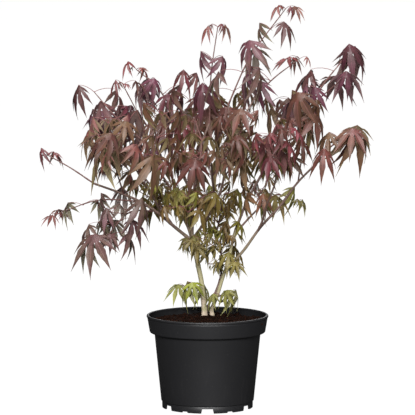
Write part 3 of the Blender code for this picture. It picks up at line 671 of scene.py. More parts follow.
def arc(centre_r, centre_z, radius, start, end, count):
    """Points of an arc in a turned profile, angles in degrees from outward, upward positive."""
    turns = [math.radians(start + (end - start) * index / (count - 1)) for index in range(count)]
    return [(centre_r + radius * math.cos(a), centre_z + radius * math.sin(a)) for a in turns]


# Shader groups


def fill(tree, node, values):
    """Sets a node's inputs: numbers and colours directly, other nodes' outputs by links."""
    for label, value in values.items():
        socket = node.inputs[label]
        if isinstance(value, bpy.types.NodeSocket):
            tree.links.new(value, socket)
        elif isinstance(value, (int, float)):
            socket.default_value = value
        else:
            socket.default_value = (*value, 1)[: len(socket.default_value)]


def add_node(tree, kind, values, **choices):
    """Adds a shader node and gives its outputs."""
    node = tree.nodes.new(kind)
    for key, choice in choices.items():
        setattr(node, key, choice)
    fill(tree, node, values)
    return node.outputs


class SkinGroup:
    """A shader group being built: each method adds one node and gives its output."""

    def __init__(self, name, inputs, outputs):
        self.tree = bpy.data.node_groups.new(name, "ShaderNodeTree")
        for label, value in inputs.items():
            kind = "NodeSocketFloat" if isinstance(value, float) else "NodeSocketColor"
            socket = self.tree.interface.new_socket(name=label, in_out="INPUT", socket_type=kind)
            socket.default_value = value
        for label in outputs:
            kind = "NodeSocketColor" if label == "Color" else "NodeSocketFloat"
            self.tree.interface.new_socket(name=label, in_out="OUTPUT", socket_type=kind)
        self.given = add_node(self.tree, "NodeGroupInput", {})
        self.place = add_node(self.tree, "ShaderNodeTexCoord", {})["Object"]

    def math(self, operation, *values):
        return add_node(self.tree, "ShaderNodeMath", dict(enumerate(values)), operation=operation)[0]

    def add(self, first, second):
        return self.math("ADD", first, second)

    def less(self, first, second):
        return self.math("SUBTRACT", first, second)

    def times(self, first, second):
        return self.math("MULTIPLY", first, second)

    def mixed(self, factor, first, second):
        return add_node(self.tree, "ShaderNodeMix", {0: factor, 6: first, 7: second}, data_type="RGBA")[2]

    def noise(self, vector, scale, detail):
        values = {"Vector": vector, "Scale": scale, "Detail": detail}
        return add_node(self.tree, "ShaderNodeTexNoise", values)[0]

    def streaks(self, vector, scale):
        """Noise stretched by a different scale along each axis."""
        values = {"Vector": vector, "Scale": scale}
        return self.noise(add_node(self.tree, "ShaderNodeMapping", values)[0], 1.0, 4.0)

    def ramp(self, factor, low, high):
        """0 below low, 1 above high, smooth between."""
        values = {"Value": factor, "From Min": low, "From Max": high}
        return add_node(self.tree, "ShaderNodeMapRange", values, interpolation_type="SMOOTHSTEP")[0]

    def uv(self):
        return add_node(self.tree, "ShaderNodeUVMap", {}, uv_map="UVMap")[0]

    def split(self, vector):
        return add_node(self.tree, "ShaderNodeSeparateXYZ", {0: vector})

    def finish(self, **results):
        fill(self.tree, self.tree.nodes.new("NodeGroupOutput"), results)
        return self.tree


def moulded_group():
    """Moulded plastic: fine grain, faint lengthwise scuffs and specks of dust."""
    inputs = {"Plastic": GREY, "Scuff": GREY, "Amount": 0.5, "Roughness": 0.5}
    skin = SkinGroup("moulded_plastic", inputs, ("Color", "Roughness", "Height"))
    cloud = skin.noise(skin.place, 22.0, 5.0)
    streak = skin.streaks(skin.place, (260.0, 260.0, 14.0))
    scuffed = skin.times(skin.ramp(streak, 0.56, 0.80), skin.ramp(cloud, 0.42, 0.70))
    amount = skin.times(scuffed, skin.given["Amount"])
    dust = skin.times(skin.ramp(skin.noise(skin.place, 420.0, 1.0), 0.70, 0.80), 0.22)
    colour = skin.mixed(skin.add(amount, dust), skin.given["Plastic"], skin.given["Scuff"])
    rough = skin.add(skin.given["Roughness"], skin.times(amount, 0.25))
    wave = skin.times(skin.less(cloud, 0.5), 0.10)
    grain = skin.noise(skin.place, 900.0, 2.0)
    return skin.finish(Color=colour, Roughness=skin.add(rough, wave), Height=grain)


def compost_group():
    """Moist compost: dark crumbs with drier, redder bits."""
    skin = SkinGroup("moist_compost", {"Moist": GREY, "Dry": GREY}, ("Color", "Height"))
    coarse = skin.noise(skin.place, 260.0, 4.0)
    fine = skin.noise(skin.place, 1400.0, 2.0)
    colour = skin.mixed(skin.ramp(coarse, 0.48, 0.72), skin.given["Moist"], skin.given["Dry"])
    return skin.finish(Color=colour, Height=skin.add(coarse, skin.times(fine, 0.5)))


def bark_group():
    """Smooth young bark: pale low on the stems, purple-brown above, with fine lengthwise streaks."""
    skin = SkinGroup("young_bark", {"Foot": GREY, "Low": GREY, "High": GREY}, ("Color", "Height"))
    sway = skin.times(skin.less(skin.noise(skin.place, 60.0, 3.0), 0.5), 0.14)
    height = skin.add(skin.split(skin.place)["Z"], sway)
    low = skin.mixed(skin.ramp(height, 0.140, 0.180), skin.given["Foot"], skin.given["Low"])
    base = skin.mixed(skin.ramp(height, 0.235, 0.315), low, skin.given["High"])
    streak = skin.streaks(skin.uv(), (26.0, 5.0, 1.0))
    lined = skin.mixed(skin.times(skin.ramp(streak, 0.50, 0.72), 0.55), base, (0.09, 0.06, 0.045))
    fleck = skin.ramp(skin.noise(skin.place, 620.0, 1.0), 0.64, 0.74)
    colour = skin.mixed(skin.times(fleck, 0.35), lined, (0.60, 0.55, 0.46))
    return skin.finish(Color=colour, Height=skin.add(streak, skin.times(fleck, 0.6)))


def leaf_group():
    """A leaf's blotches, paler midribs and side veins, on the leaf's own map."""
    inputs = {"Leaf": GREY, "Cast": GREY, "Vein": GREY, "Veins": 0.4, "Blotch": 0.3, "Turned": 0.5}
    skin = SkinGroup("leaf_skin", inputs, ("Color", "Height"))
    given = skin.given
    on_leaf = skin.split(skin.uv())
    across = skin.math("ABSOLUTE", skin.less(on_leaf["X"], 0.5))
    midrib = skin.less(1.0, skin.ramp(across, 0.015, 0.075))
    slant = skin.less(skin.times(on_leaf["Y"], 13.0), skin.times(across, 5.0))
    wave = skin.math("ABSOLUTE", skin.less(skin.math("FRACT", slant), 0.5))
    side = skin.times(skin.less(1.0, skin.ramp(wave, 0.02, 0.14)), 0.45)
    vein = skin.times(skin.math("MAXIMUM", midrib, side), given["Veins"])
    patch = skin.ramp(skin.noise(skin.place, 26.0, 2.0), 0.40, 0.62)
    tip = skin.times(skin.ramp(on_leaf["Y"], 0.45, 0.95), 0.8)
    turned = skin.times(skin.math("MAXIMUM", patch, tip), given["Turned"])
    cast = skin.mixed(turned, given["Leaf"], given["Cast"])
    blotch = skin.times(skin.ramp(skin.noise(skin.place, 75.0, 4.0), 0.38, 0.66), given["Blotch"])
    dark = skin.mixed(blotch, cast, (0.030, 0.016, 0.012))
    fine = skin.times(skin.noise(skin.place, 700.0, 2.0), 0.35)
    height = skin.add(skin.times(vein, 1.4), fine)
    return skin.finish(Color=skin.mixed(vein, dark, given["Vein"]), Height=height)


def material_with(name, group, values, roughness, bump, distance, specular):
    """A Principled material fed by a shader group."""
    material = bpy.data.materials.new(name)
    material.use_nodes = True
    tree = material.node_tree
    skin = add_node(tree, "ShaderNodeGroup", values, node_tree=group)
    relief = add_node(
        tree, "ShaderNodeBump", {"Strength": bump, "Distance": distance, "Height": skin["Height"]}
    )
    looks = {
        "Base Color": skin["Color"],
        "Roughness": skin["Roughness"] if "Roughness" in skin else roughness,
        "Specular IOR Level": specular,
        "Normal": relief["Normal"],
    }
    fill(tree, tree.nodes["Principled BSDF"], looks)
    return material


def bark_material(name, group, foot, low, high, finish):
    return material_with(name, group, {"Foot": foot, "Low": low, "High": high}, *finish)


# Pot


def pot_profile():
    """Inside floor, inner wall, rolled lip, outer wall, foot ring, underside and its centre pad."""
    share = (FLOOR_Z - BODY_LOW_Z) / (STEP_Z - BODY_LOW_Z)
    floor_radius = BODY_LOW_RADIUS + share * (BODY_TOP_RADIUS - BODY_LOW_RADIUS)
    inside = [
        (0, FLOOR_Z + FLOOR_THICK),
        (floor_radius - 2 * WALL, FLOOR_Z + FLOOR_THICK),
        (BODY_TOP_RADIUS - WALL, STEP_Z + WALL),
        (COLLAR_LOW_RADIUS - WALL, STEP_Z + 2 * WALL),
        (COLLAR_TOP_RADIUS - WALL, POT_HEIGHT - 2 * LIP_RADIUS),
    ]
    lip = arc(settings().pot.rim_radius - LIP_RADIUS, POT_HEIGHT - LIP_RADIUS, LIP_RADIUS, 165, -75, 13)
    outside = [(COLLAR_TOP_RADIUS + out, POT_HEIGHT - 2 * LIP_RADIUS - down) for out, down in NECK]
    outside += arc(COLLAR_LOW_RADIUS - COLLAR_ROUND, STEP_Z + COLLAR_ROUND, COLLAR_ROUND, 0, -90, 6)
    outside += arc(BODY_TOP_RADIUS + STEP_ROUND, STEP_Z - STEP_ROUND, STEP_ROUND, 90, 180, 4)
    outside += arc(BODY_LOW_RADIUS - BODY_ROUND, BODY_LOW_Z + BODY_ROUND, BODY_ROUND, 0, -90, 6)
    outside += [(FOOT_RADIUS + FOOT_SHOULDER[0], BODY_LOW_Z - FOOT_SHOULDER[1])]
    outside += arc(FOOT_RADIUS - FOOT_ROUND, FOOT_ROUND, FOOT_ROUND, 0, -90, 3)
    under = [
        (FOOT_RADIUS - FOOT_WIDTH, 0),
        (FOOT_RADIUS - FOOT_WIDTH, FLOOR_Z),
        (PAD_RADIUS, FLOOR_Z),
        (PAD_RADIUS, 0),
        (0, 0),
    ]
    return inside + lip + outside + under


def foot_block(bm, width, height, turn):
    """A block across the foot ring, narrower at its top."""
    block = bmesh.ops.create_cube(bm, size=1.0)["verts"]
    for vert in block:
        vert.co.y *= width * (NOTCH_TAPER if vert.co.z > 0 else 1.0)
        vert.co.x *= 4 * FOOT_WIDTH
        vert.co.z *= 2 * height
    centre = Matrix.Translation((FOOT_RADIUS - FOOT_WIDTH / 2, 0, 0))
    bmesh.ops.transform(bm, matrix=turn @ centre, verts=block)


def foot_cutter():
    """Slanted notches through the foot ring, drain holes behind them, and shallow steps between."""
    cutters = bmesh.new()
    half_turn = Matrix.Rotation(math.radians(180 / NOTCHES), 4, "Z")
    for index in range(NOTCHES):
        turn = Matrix.Rotation(math.radians(360 / NOTCHES * index - 90), 4, "Z")
        foot_block(cutters, NOTCH_WIDTH, settings().pot.notch_height, turn)
        drain = bmesh.ops.create_cone(
            cutters,
            cap_ends=True,
            segments=24,
            radius1=DRAIN_RADIUS,
            radius2=DRAIN_RADIUS,
            depth=4 * FLOOR_THICK,
        )["verts"]
        centre = Matrix.Translation((DRAIN_CIRCLE, 0, FLOOR_Z + FLOOR_THICK / 2))
        bmesh.ops.transform(cutters, matrix=turn @ centre, verts=drain)
        foot_block(cutters, STEP_WIDTH, STEP_HEIGHT, half_turn @ turn)
    return linked("foot_cutter", mesh_of(cutters, "foot_cutter"))


def cut_mesh(mesh, cutter):
    """The mesh less the cutter, whose object is removed."""
    item = linked("blank", mesh)
    joint = item.modifiers.new("cut", "BOOLEAN")
    joint.operation = "DIFFERENCE"
    joint.solver = "EXACT"
    joint.object = cutter
    bpy.context.view_layer.update()
    graph = bpy.context.evaluated_depsgraph_get()
    result = bpy.data.meshes.new_from_object(item.evaluated_get(graph))
    bpy.data.objects.remove(item, do_unlink=True)
    bpy.data.objects.remove(cutter, do_unlink=True)
    return result


class MAPLE_OT_pot(Operator):
    """Turn the nursery pot with its rolled lip, collar and notched foot"""

    bl_idname = "maple.pot"
    bl_label = "Pot"

    def execute(self, context):
        wanted = settings().pot
        blank = mesh_of(turned_bmesh(pot_profile(), wanted.turn_steps), "pot_blank")
        mesh = cut_mesh(blank, foot_cutter())
        mesh.name = "nursery_pot"
        looks = {
            "Plastic": wanted.colour,
            "Scuff": wanted.scuff,
            "Amount": wanted.scuffed,
            "Roughness": wanted.roughness,
        }
        group = moulded_group()
        plastic = material_with("charcoal_plastic", group, looks, wanted.roughness, *PLASTIC_RELIEF)
        show("nursery_pot", shaded(mesh, 38), plastic, ["pot"])
        return {"FINISHED"}


# Compost


def compost_height(x, y):
    """Height of the compost's surface: level round the stems, falling to the wall, with lumps."""
    edge = COLLAR_TOP_RADIUS - 3 * WALL
    share = (math.hypot(x, y) - SOIL_FLAT_RADIUS) / (edge - SOIL_FLAT_RADIUS)
    share = min(1.0, max(0.0, share))
    lump = sum(noise.noise(Vector((x * waves, y * waves, z))) * height for waves, z, height in LUMPS)
    return SOIL_TOP_Z + (SOIL_EDGE_Z - SOIL_TOP_Z) * share + lump


def compost_bed():
    low_z = STEP_Z + 3 * WALL
    edge = COLLAR_TOP_RADIUS - WALL * 1.4
    profile = [(edge * index / SOIL_RINGS, SOIL_TOP_Z) for index in range(SOIL_RINGS + 1)]
    profile += [(COLLAR_LOW_RADIUS - 2 * WALL, low_z), (0, low_z)]
    bm = turned_bmesh(profile, SOIL_STEPS)
    for vert in bm.verts:
        if vert.co.z > SOIL_TOP_Z - 0.0001:
            vert.co.z = compost_height(vert.co.x, vert.co.y)
    bmesh.ops.recalc_face_normals(bm, faces=bm.faces)
    return shaded(mesh_of(bm, "compost_bed"), 60)


def crumb_templates(draw):
    """A few rough crumbs and flat bark chips of unit size."""
    forms = []
    for _ in range(CRUMB_FORMS):
        bm = bmesh.new()
        bmesh.ops.create_icosphere(bm, subdivisions=1, radius=1.0)
        for vert in bm.verts:
            vert.co *= 1.0 + draw.uniform(*CRUMB_DENT)
        forms.append(arrays_of(bm))
    for _ in range(CHIP_FORMS):
        bm = bmesh.new()
        bmesh.ops.create_cube(bm, size=CHIP_CUBE)
        for vert in bm.verts:
            vert.co.x *= CHIP_STRETCH[0]
            vert.co.z *= CHIP_STRETCH[1]
            vert.co += Vector([draw.uniform(-CHIP_SKEW, CHIP_SKEW) for _ in range(3)])
        forms.append(arrays_of(bm))
    return forms


def scattered(wanted, draw):
    """Crumbs and chips dealt out over the compost."""
    forms = crumb_templates(draw)
    placed = []
    reach = COLLAR_TOP_RADIUS - 3 * WALL
    for index in range(wanted.crumbs + wanted.chips):
        radius = reach * math.sqrt(draw.random())
        bearing = draw.uniform(0, math.tau)
        x, y = radius * math.cos(bearing), radius * math.sin(bearing)
        chip = index >= wanted.crumbs
        size = wanted.crumb_size * draw.uniform(*CRUMB_SPREAD) ** 2 * (CHIP_SIZE if chip else 1.0)
        form = forms[CRUMB_FORMS + index % CHIP_FORMS] if chip else forms[index % CRUMB_FORMS]
        turn = Matrix.Rotation(draw.uniform(0, math.tau), 4, "Z")
        for tilt, axis in zip(CRUMB_TILT, "XY"):
            turn = turn @ Matrix.Rotation(draw.uniform(-tilt, tilt), 4, axis)
        at = Matrix.Translation((x, y, compost_height(x, y) + size * CRUMB_SINK))
        placed.append((form, at @ turn @ Matrix.Scale(size, 4), [0]))
    return placed


class MAPLE_OT_compost(Operator):
    """Fill the pot with moist compost, crumbs and bark chips"""

    bl_idname = "maple.compost"
    bl_label = "Compost"

    def execute(self, context):
        wanted = settings().compost
        looks = {"Moist": wanted.colour, "Dry": wanted.dry}
        moist = material_with("moist_compost", compost_group(), looks, *COMPOST_FINISH)
        show("compost_bed", compost_bed(), moist, ["soil"])
        crumbs = joined("compost_crumbs", scattered(wanted, random.Random(CRUMB_SEED)), 30)
        show("compost_crumbs", crumbs, moist)
        return {"FINISHED"}


# Limbs


def limb_routes():
    """Routes and radii of the stems and boughs, by the rule of the solids."""
    limbs = {}
    for index, (name, (foot, tip, foot_radius, tip_radius, bow)) in enumerate(STEMS.items()):
        draw = random.Random(SEED + index)
        start = metres((*foot, 0))
        start.z = SOIL_TOP_Z + CLEARANCE
        flare_top = start + UP * FLARE_HEIGHT
        upper = route_of(flare_top, metres(tip), metres(bow), LIMB_RINGS, KINK / 2, draw)
        limbs[name] = ([start, start.lerp(flare_top, FLARE_RING)] + upper, foot_radius, tip_radius)
    for index, (name, (carrier, share, tip, foot_radius, tip_radius, bow)) in enumerate(BOUGHS.items()):
        draw = random.Random(BOUGH_SEED + index)
        carrier_route, _, carrier_tip_radius = limbs[carrier]
        start, heading = along(carrier_route, share)
        if share == 1.0:
            start = start - heading * 2 * carrier_tip_radius
        route = route_of(start, metres(tip), metres(bow), LIMB_RINGS, KINK, draw)
        limbs[name] = (route, foot_radius, tip_radius)
    return limbs


def limb_radius(foot_radius, tip_radius, length, is_stem, relief, seed):
    """Radius along and round a limb: taper, root flare, swollen nodes and shallow bark relief."""

    def radius_at(share, point, out):
        radius = foot_radius + share * (tip_radius - foot_radius)
        run = share * length
        if is_stem:
            radius *= 1 + (FLARE - 1) * math.exp(-((run / FLARE_HEIGHT) ** 2) * FLARE_FALL)
            ridge = math.cos(math.atan2(out.y, out.x) * RIDGES + seed)
            radius *= 1 + RIDGE_DEPTH * ridge * math.exp(-run / RIDGE_HEIGHT)
        beat = (run / NODE_GAP + seed * NODE_STAGGER) % 1.0
        radius *= 1 + NODE_SWELL * math.exp(-(((beat - 0.5) / NODE_WIDTH) ** 2))
        coarse = out * WRINKLES[0] + Vector((seed, 0, run * WRINKLES[1]))
        radius *= 1 + relief * noise.noise(coarse)
        fine = out * FINE_WRINKLES[0] + Vector((0, seed, run * FINE_WRINKLES[1]))
        return radius * (1 + relief * FINE_SHARE * noise.noise(fine))

    return radius_at


class MAPLE_OT_bark(Operator):
    """Sweep the stems and boughs with the relief of young bark"""

    bl_idname = "maple.bark"
    bl_label = "Stems and boughs"

    def execute(self, context):
        wanted = settings().bark
        group = bark_group()
        middle, high = wanted.middle, wanted.high
        stem_bark = bark_material("young_bark", group, wanted.foot, wanted.low, high, STEM_FINISH)
        bough_bark = bark_material("bough_bark", group, middle, middle, high, BOUGH_FINISH)
        purple_bark = bark_material("purple_bark", group, high, high, high, PURPLE_FINISH)
        for seed, (name, (route, foot_radius, tip_radius)) in enumerate(limb_routes().items()):
            is_stem = name in STEMS
            if is_stem:
                route = [route[0] - UP * STEM_SUNK] + route
            points = smooth_route(route, wanted.ring_gap)
            sides = wanted.sides if is_stem else max(10, wanted.sides - 6)
            length = sum(lengths_of(points))
            shape = limb_radius(foot_radius, tip_radius, length, is_stem, wanted.relief, seed)
            mesh = shaded(mesh_of(tube(points, shape, sides), f"{name}_bark"), 60)
            skin = stem_bark if is_stem else bough_bark
            if foot_radius < THIN_LIMB:
                skin = purple_bark
            show(f"{name}_bark", mesh, skin, [name])
        return {"FINISHED"}


# Leaves and twigs


def lobe_half_width(share, base, widest):
    """Half width of a lobe's blade from its sinus, 0, to its drawn-out tip, 1."""
    if share < BELLY_AT:
        rise = share / BELLY_AT
        return base + (widest - base) * rise * rise * (3 - 2 * rise)
    fall = (share - BELLY_AT) / (1 - BELLY_AT)
    return widest * (1 - fall) ** TIP_DRAWN_OUT * (1 + TIP_FULLNESS * fall)


def lobe(bm, form, index, droop, fold, curl, width):
    """One lobe: a grid laid along its bearing, its foot shared with the lobes beside it."""
    bearing, reach = form[index]
    turn = math.radians(bearing)
    stations = WEB_STATIONS + BLADE_STATIONS
    lift = LOBE_LIFT * (1 if index % 2 else -1)
    lift += LOBE_SWAY * curl * math.sin(bearing * SWAY_BY_BEARING)
    gaps = []
    for other in (index - 1, index + 1):
        inside = 0 <= other < len(form)
        gaps.append(math.radians(abs(form[other][0] - bearing) / 2 if inside else OUTER_HALF_GAP))
    made = bmesh.ops.create_grid(bm, x_segments=2, y_segments=stations, size=0.5, calc_uvs=True)["verts"]
    for vert in made:
        side = round(vert.co.x * 2)
        station = round((vert.co.y + 0.5) * stations)
        gap = gaps[0] if side < 0 else gaps[1]
        if station <= WEB_STATIONS:
            radius = SINUS * station / WEB_STATIONS
            angle = turn + side * gap
            flat = Vector((radius * math.cos(angle), radius * math.sin(angle), 0))
        else:
            share = (station - WEB_STATIONS) / BLADE_STATIONS
            radius = SINUS * math.cos(gap) + (reach - SINUS * math.cos(gap)) * share
            half = lobe_half_width(share, SINUS * math.sin(gap), width * reach)
            if station % 2 and station < stations:
                half *= 1 - TOOTH
            if station == stations:
                half = 0
            flat = Vector((radius, half * side, 0))
            flat.rotate(Matrix.Rotation(turn, 3, "Z"))
            flat.z = fold * half * abs(side)
        vert.co = hung(flat, droop, lift)


def hung(flat, droop, lift):
    """Lets a flat leaf down round its stalk like a half-closed umbrella, its side lobes furthest."""
    radius = math.hypot(flat.x, flat.y)
    if radius < 1e-9:
        return flat
    outer = abs(math.atan2(flat.y, flat.x)) / (math.pi / 2)
    decline = droop * (HUB_FALL + (1 - HUB_FALL) * radius) * (CENTRE_FALL + SIDE_FALL * outer)
    decline += lift * max(0.0, radius - SINUS)
    inward = math.cos(decline)
    return Vector((flat.x * inward, flat.y * inward, flat.z * inward - radius * math.sin(decline)))


def leaf_template(name, droop, fold, curl, width):
    """A thin leaf of unit length, slot 0 above and slot 1 below, and its plain blade."""
    form = LEAF_FORMS[name]
    bm = bmesh.new()
    bm.loops.layers.uv.new("UVMap")
    for index in range(len(form)):
        lobe(bm, form, index, droop, fold, curl, width)
    bmesh.ops.remove_doubles(bm, verts=bm.verts, dist=1e-5)
    bmesh.ops.dissolve_degenerate(bm, edges=bm.edges, dist=1e-6)
    bmesh.ops.recalc_face_normals(bm, faces=bm.faces)
    if sum(face.normal.z for face in bm.faces) < 0:
        bmesh.ops.reverse_faces(bm, faces=bm.faces)
    blade = bm.copy()
    bmesh.ops.solidify(bm, geom=list(bm.faces), thickness=LEAF_THICKNESS)
    for face in bm.faces:
        face.normal_update()
        face.material_index = 0 if face.normal.z > UPPER_SLOPE else 1
    return arrays_of(bm), arrays_of(blade)


def stalk_template():
    """A thin tube of unit length along +Z, of unit radius at its foot."""

    def place_at(ring, angle):
        radius = 1.0 - STALK_TAPER * ring / STALK_RINGS
        return Vector((math.cos(angle) * radius, math.sin(angle) * radius, ring / STALK_RINGS))

    return arrays_of(rolled(STALK_SIDES, STALK_RINGS, place_at))


def stalk_arrays(template, start, end, radius, rise):
    """A stalk's own arrays: the template stretched between two points and bowed upward."""
    points, tris, kinds, coords = template
    run = end - start
    placed = points * (radius, radius, run.length)
    placed = placed @ np.array(run.to_track_quat("Z", "Y").to_matrix()).T + np.array(start)
    share = points[:, 2]
    placed += np.outer(4 * share * (1 - share), (0, 0, rise))
    return placed, tris, kinds, coords


def twig_radius(radius, tip_radius):
    """Radius along a twig, with swollen nodes."""

    def radius_at(share, point, out):
        beat = (share * TWIG_NODES) % 1.0
        node = 1 + TWIG_NODE_SWELL * math.exp(-(((beat - 0.5) / TWIG_NODE_WIDTH) ** 2))
        return (radius + share * (tip_radius - radius)) * node

    return radius_at


class Growth:
    """The shoots of the crown: stems, side twigs, stalks and leaves that keep clear of each other."""

    def __init__(self, wanted):
        limbs = limb_routes()
        self.wanted = wanted
        self.routes = {}
        for mass, (carrier, share, tip, _, _, _, bow, _, _, _) in MASSES.items():
            root, _ = along(limbs[carrier][0], share)
            shares = [index / STEM_PIECES for index in range(STEM_PIECES + 1)]
            self.routes[mass] = [bowed(root, metres(tip), metres(bow), part) for part in shares]
        self.names = list(self.routes)
        self.starts = np.array([point for route in self.routes.values() for point in route[:-1]])
        self.runs = np.array([point for route in self.routes.values() for point in route[1:]]) - self.starts
        self.owner = np.repeat(np.arange(len(self.names)), STEM_PIECES)
        self.low = np.array(CAD_BOX[0]) + BOX_MARGIN
        self.high = np.array(CAD_BOX[1]) - BOX_MARGIN
        self.forms = [leaf_template(*form) for form in GROWN_LEAVES]
        self.young_forms = [leaf_template(*form) for form in YOUNG_LEAVES]
        self.blades = []
        self.leaves = []
        self.stalks = []
        self.twigs = []
        limb_points = []
        for route, foot_radius, tip_radius in limbs.values():
            for index in range(LIMB_CHECKS + 1):
                share = index / LIMB_CHECKS
                point, _ = along(route, share)
                limb_points.append((*point, foot_radius + share * (tip_radius - foot_radius)))
        self.limb_points = np.array(limb_points)

    def in_space(self, points, mass):
        """Whether points are inside the solids' box and nearer to their own stem than to another."""
        if (points < self.low).any() or (points > self.high).any():
            return False
        rel = points[:, None, :] - self.starts[None, :, :]
        share = (rel * self.runs[None]).sum(2) / (self.runs ** 2).sum(1)[None]
        share = share.clip(0, 1)
        gap = np.linalg.norm(rel - share[:, :, None] * self.runs[None], axis=2)
        own = self.owner == self.names.index(mass)
        return bool((gap[:, own].min(1) < gap[:, ~own].min(1) + SPACE_SLACK).all())

    def is_clear(self, points, tris):
        """Whether a blade clears the limbs and the blades around it, which it then joins."""
        gap = np.linalg.norm(points[:, None, :] - self.limb_points[None, :, :3], axis=2)
        if (gap < self.limb_points[None, :, 3] + LIMB_GAP).any():
            return False
        tree = BVHTree.FromPolygons([tuple(p) for p in points], [tuple(t) for t in tris])
        centre = points.mean(0)
        reach = np.linalg.norm(points - centre, axis=1).max()
        for other_centre, other_reach, other_tree in self.blades:
            if np.linalg.norm(centre - other_centre) < reach + other_reach and tree.overlap(other_tree):
                return False
        self.blades.append((centre, reach, tree))
        return True

    def leaf(self, root, bearing, length, mass, tone, draw, young=False):
        """Tries a leaf on its stalk at a few turns, and keeps the first that is clear."""
        for attempt in range(self.wanted.tries):
            turn = bearing + (attempt + 1) // 2 * (1 if attempt % 2 else -1) * STALK_SHIFT
            size = length * (1 - STALK_SHRINK * attempt)
            ahead = Vector((math.cos(turn), math.sin(turn), 0))
            rise = math.radians(draw.uniform(*STALK_RISE))
            stalk = size * draw.uniform(*STALK_SHARE)
            top = root + ahead * stalk * math.cos(rise) + Vector((0, 0, stalk * math.sin(rise)))
            pitch = math.radians(draw.uniform(*(YOUNG_PITCH if young else LEAF_PITCH)))
            roll = math.radians(draw.uniform(-LEAF_ROLL, LEAF_ROLL))
            full, (points, tris, _, _) = draw.choice(self.young_forms if young else self.forms)
            side = UP.cross(ahead)
            basis = Matrix((ahead, side, UP)).transposed().to_4x4()
            tilt = Matrix.Rotation(pitch, 4, side) @ Matrix.Rotation(roll, 4, ahead)
            matrix = Matrix.Translation(top) @ tilt @ basis @ Matrix.Scale(size, 4)
            points = moved(points, matrix)
            if self.in_space(points[::5], mass) and self.is_clear(points, tris):
                self.leaves.append((full, matrix, tone, mass))
                radius = STALK_RADIUS * (STALK_LEAST + STALK_MORE * size / STALK_FULL_LEAF)
                self.stalks.append((root.copy(), top, radius, STALK_BEND * stalk))
                return True
        return False

    def shoot(self, mass, draw):
        """A mass's stem with its leaf pairs, and side twigs that carry smaller pairs."""
        _, _, _, nodes, leaf_length, tone, _, side_twigs, _, marks = MASSES[mass]
        length = leaf_length / 1000
        route = self.routes[mass]
        self.twigs.append((route, STEM_RADIUS, STEM_TIP_RADIUS))
        nodes += min(self.wanted.extra_nodes, side_twigs)
        fall = YOUNG_FALL if "young" in marks else TIP_FALL
        if "outer" in marks:
            turn = math.radians(SIDE_BY_SIDE) - nodes * math.pi / 2
        else:
            turn = draw.uniform(0, math.tau)
        for node in range(nodes):
            last = node == nodes - 1
            share = 1.0 if last else FIRST_NODE + (1 - FIRST_NODE) * node / (nodes - 1)
            root, heading = along(route, share)
            turn += math.pi / 2 + draw.uniform(-NODE_SWAY, NODE_SWAY)
            size = length * (1 - fall * (share - FIRST_NODE)) * draw.uniform(*SIZE_SPREAD)
            shade = draw.randrange(TONE_DRAWS)
            young = last and "young" in marks
            kind = TIP_TONE.get(tone, tone) if young else tone
            for side in (0, math.pi):
                self.leaf(root, turn + side, size, mass, (kind, shade), draw, young)
            if young:
                for side in (0.5, 1.5):
                    small = size * draw.uniform(*YOUNG_EXTRA)
                    self.leaf(root, turn + side * math.pi, small, mass, (kind, shade + 1), draw, True)
            for count in range(0 if last else side_twigs):
                bearing = turn + math.pi * (0.5 + (count + node) % 2) + count // 2 * TWIG_TURN
                rise = UP * (TWIG_RISE + TWIG_PAIR_RISE * (count // 2))
                self.side_twig(root, heading, rise, bearing, size * TWIG_LEAF, mass, tone, draw)

    def side_twig(self, root, heading, rise, bearing, length, mass, tone, draw):
        out = Vector((math.cos(bearing), math.sin(bearing), 0))
        reach = self.wanted.side_twig * draw.uniform(*TWIG_REACH)
        ahead = heading * TWIG_AHEAD + out * TWIG_OUTWARD + rise
        tip = root + ahead.normalized() * reach
        tone = (tone, draw.randrange(TONE_DRAWS))
        across = bearing + math.pi / 2 + draw.uniform(-TWIG_SWAY, TWIG_SWAY)
        if not self.in_space(np.array([tip]), mass):
            return
        grown = 0
        for side in (0, math.pi):
            grown += self.leaf(tip, across + side, length * draw.uniform(*TWIG_PAIR), mass, tone, draw)
        grown += self.leaf(tip, bearing, length * draw.uniform(*TWIG_END), mass, tone, draw, True)
        if grown:
            route = [root, root.lerp(tip, 0.5) - UP * TWIG_SAG, tip]
            self.twigs.append((route, TWIG_RADIUS, TWIG_TIP_RADIUS))


def leaf_material(group, tone, index, lower):
    brighter, veins, blotch, rougher, ending = LEAF_SIDES[lower]
    colour = TONES[tone][index][lower]
    looks = {
        "Leaf": colour,
        "Cast": CASTS[tone][lower],
        "Vein": tuple(min(1.0, part * brighter + VEIN_LIFT) for part in colour),
        "Veins": veins,
        "Blotch": blotch,
        "Turned": LEAF_TURNED,
    }
    roughness = settings().foliage.roughness + rougher
    return material_with(f"leaf_{tone}_{index}{ending}", group, looks, roughness, *LEAF_RELIEF)


def foliage_name(tone, mass):
    """Name of the piece that holds a tone's leaves on a mass's side of the plant."""
    _, _, tip, *_ = MASSES[mass]
    side = "left" if tip[0] < 0 else "right"
    return f"foliage_{tone}_{side}"


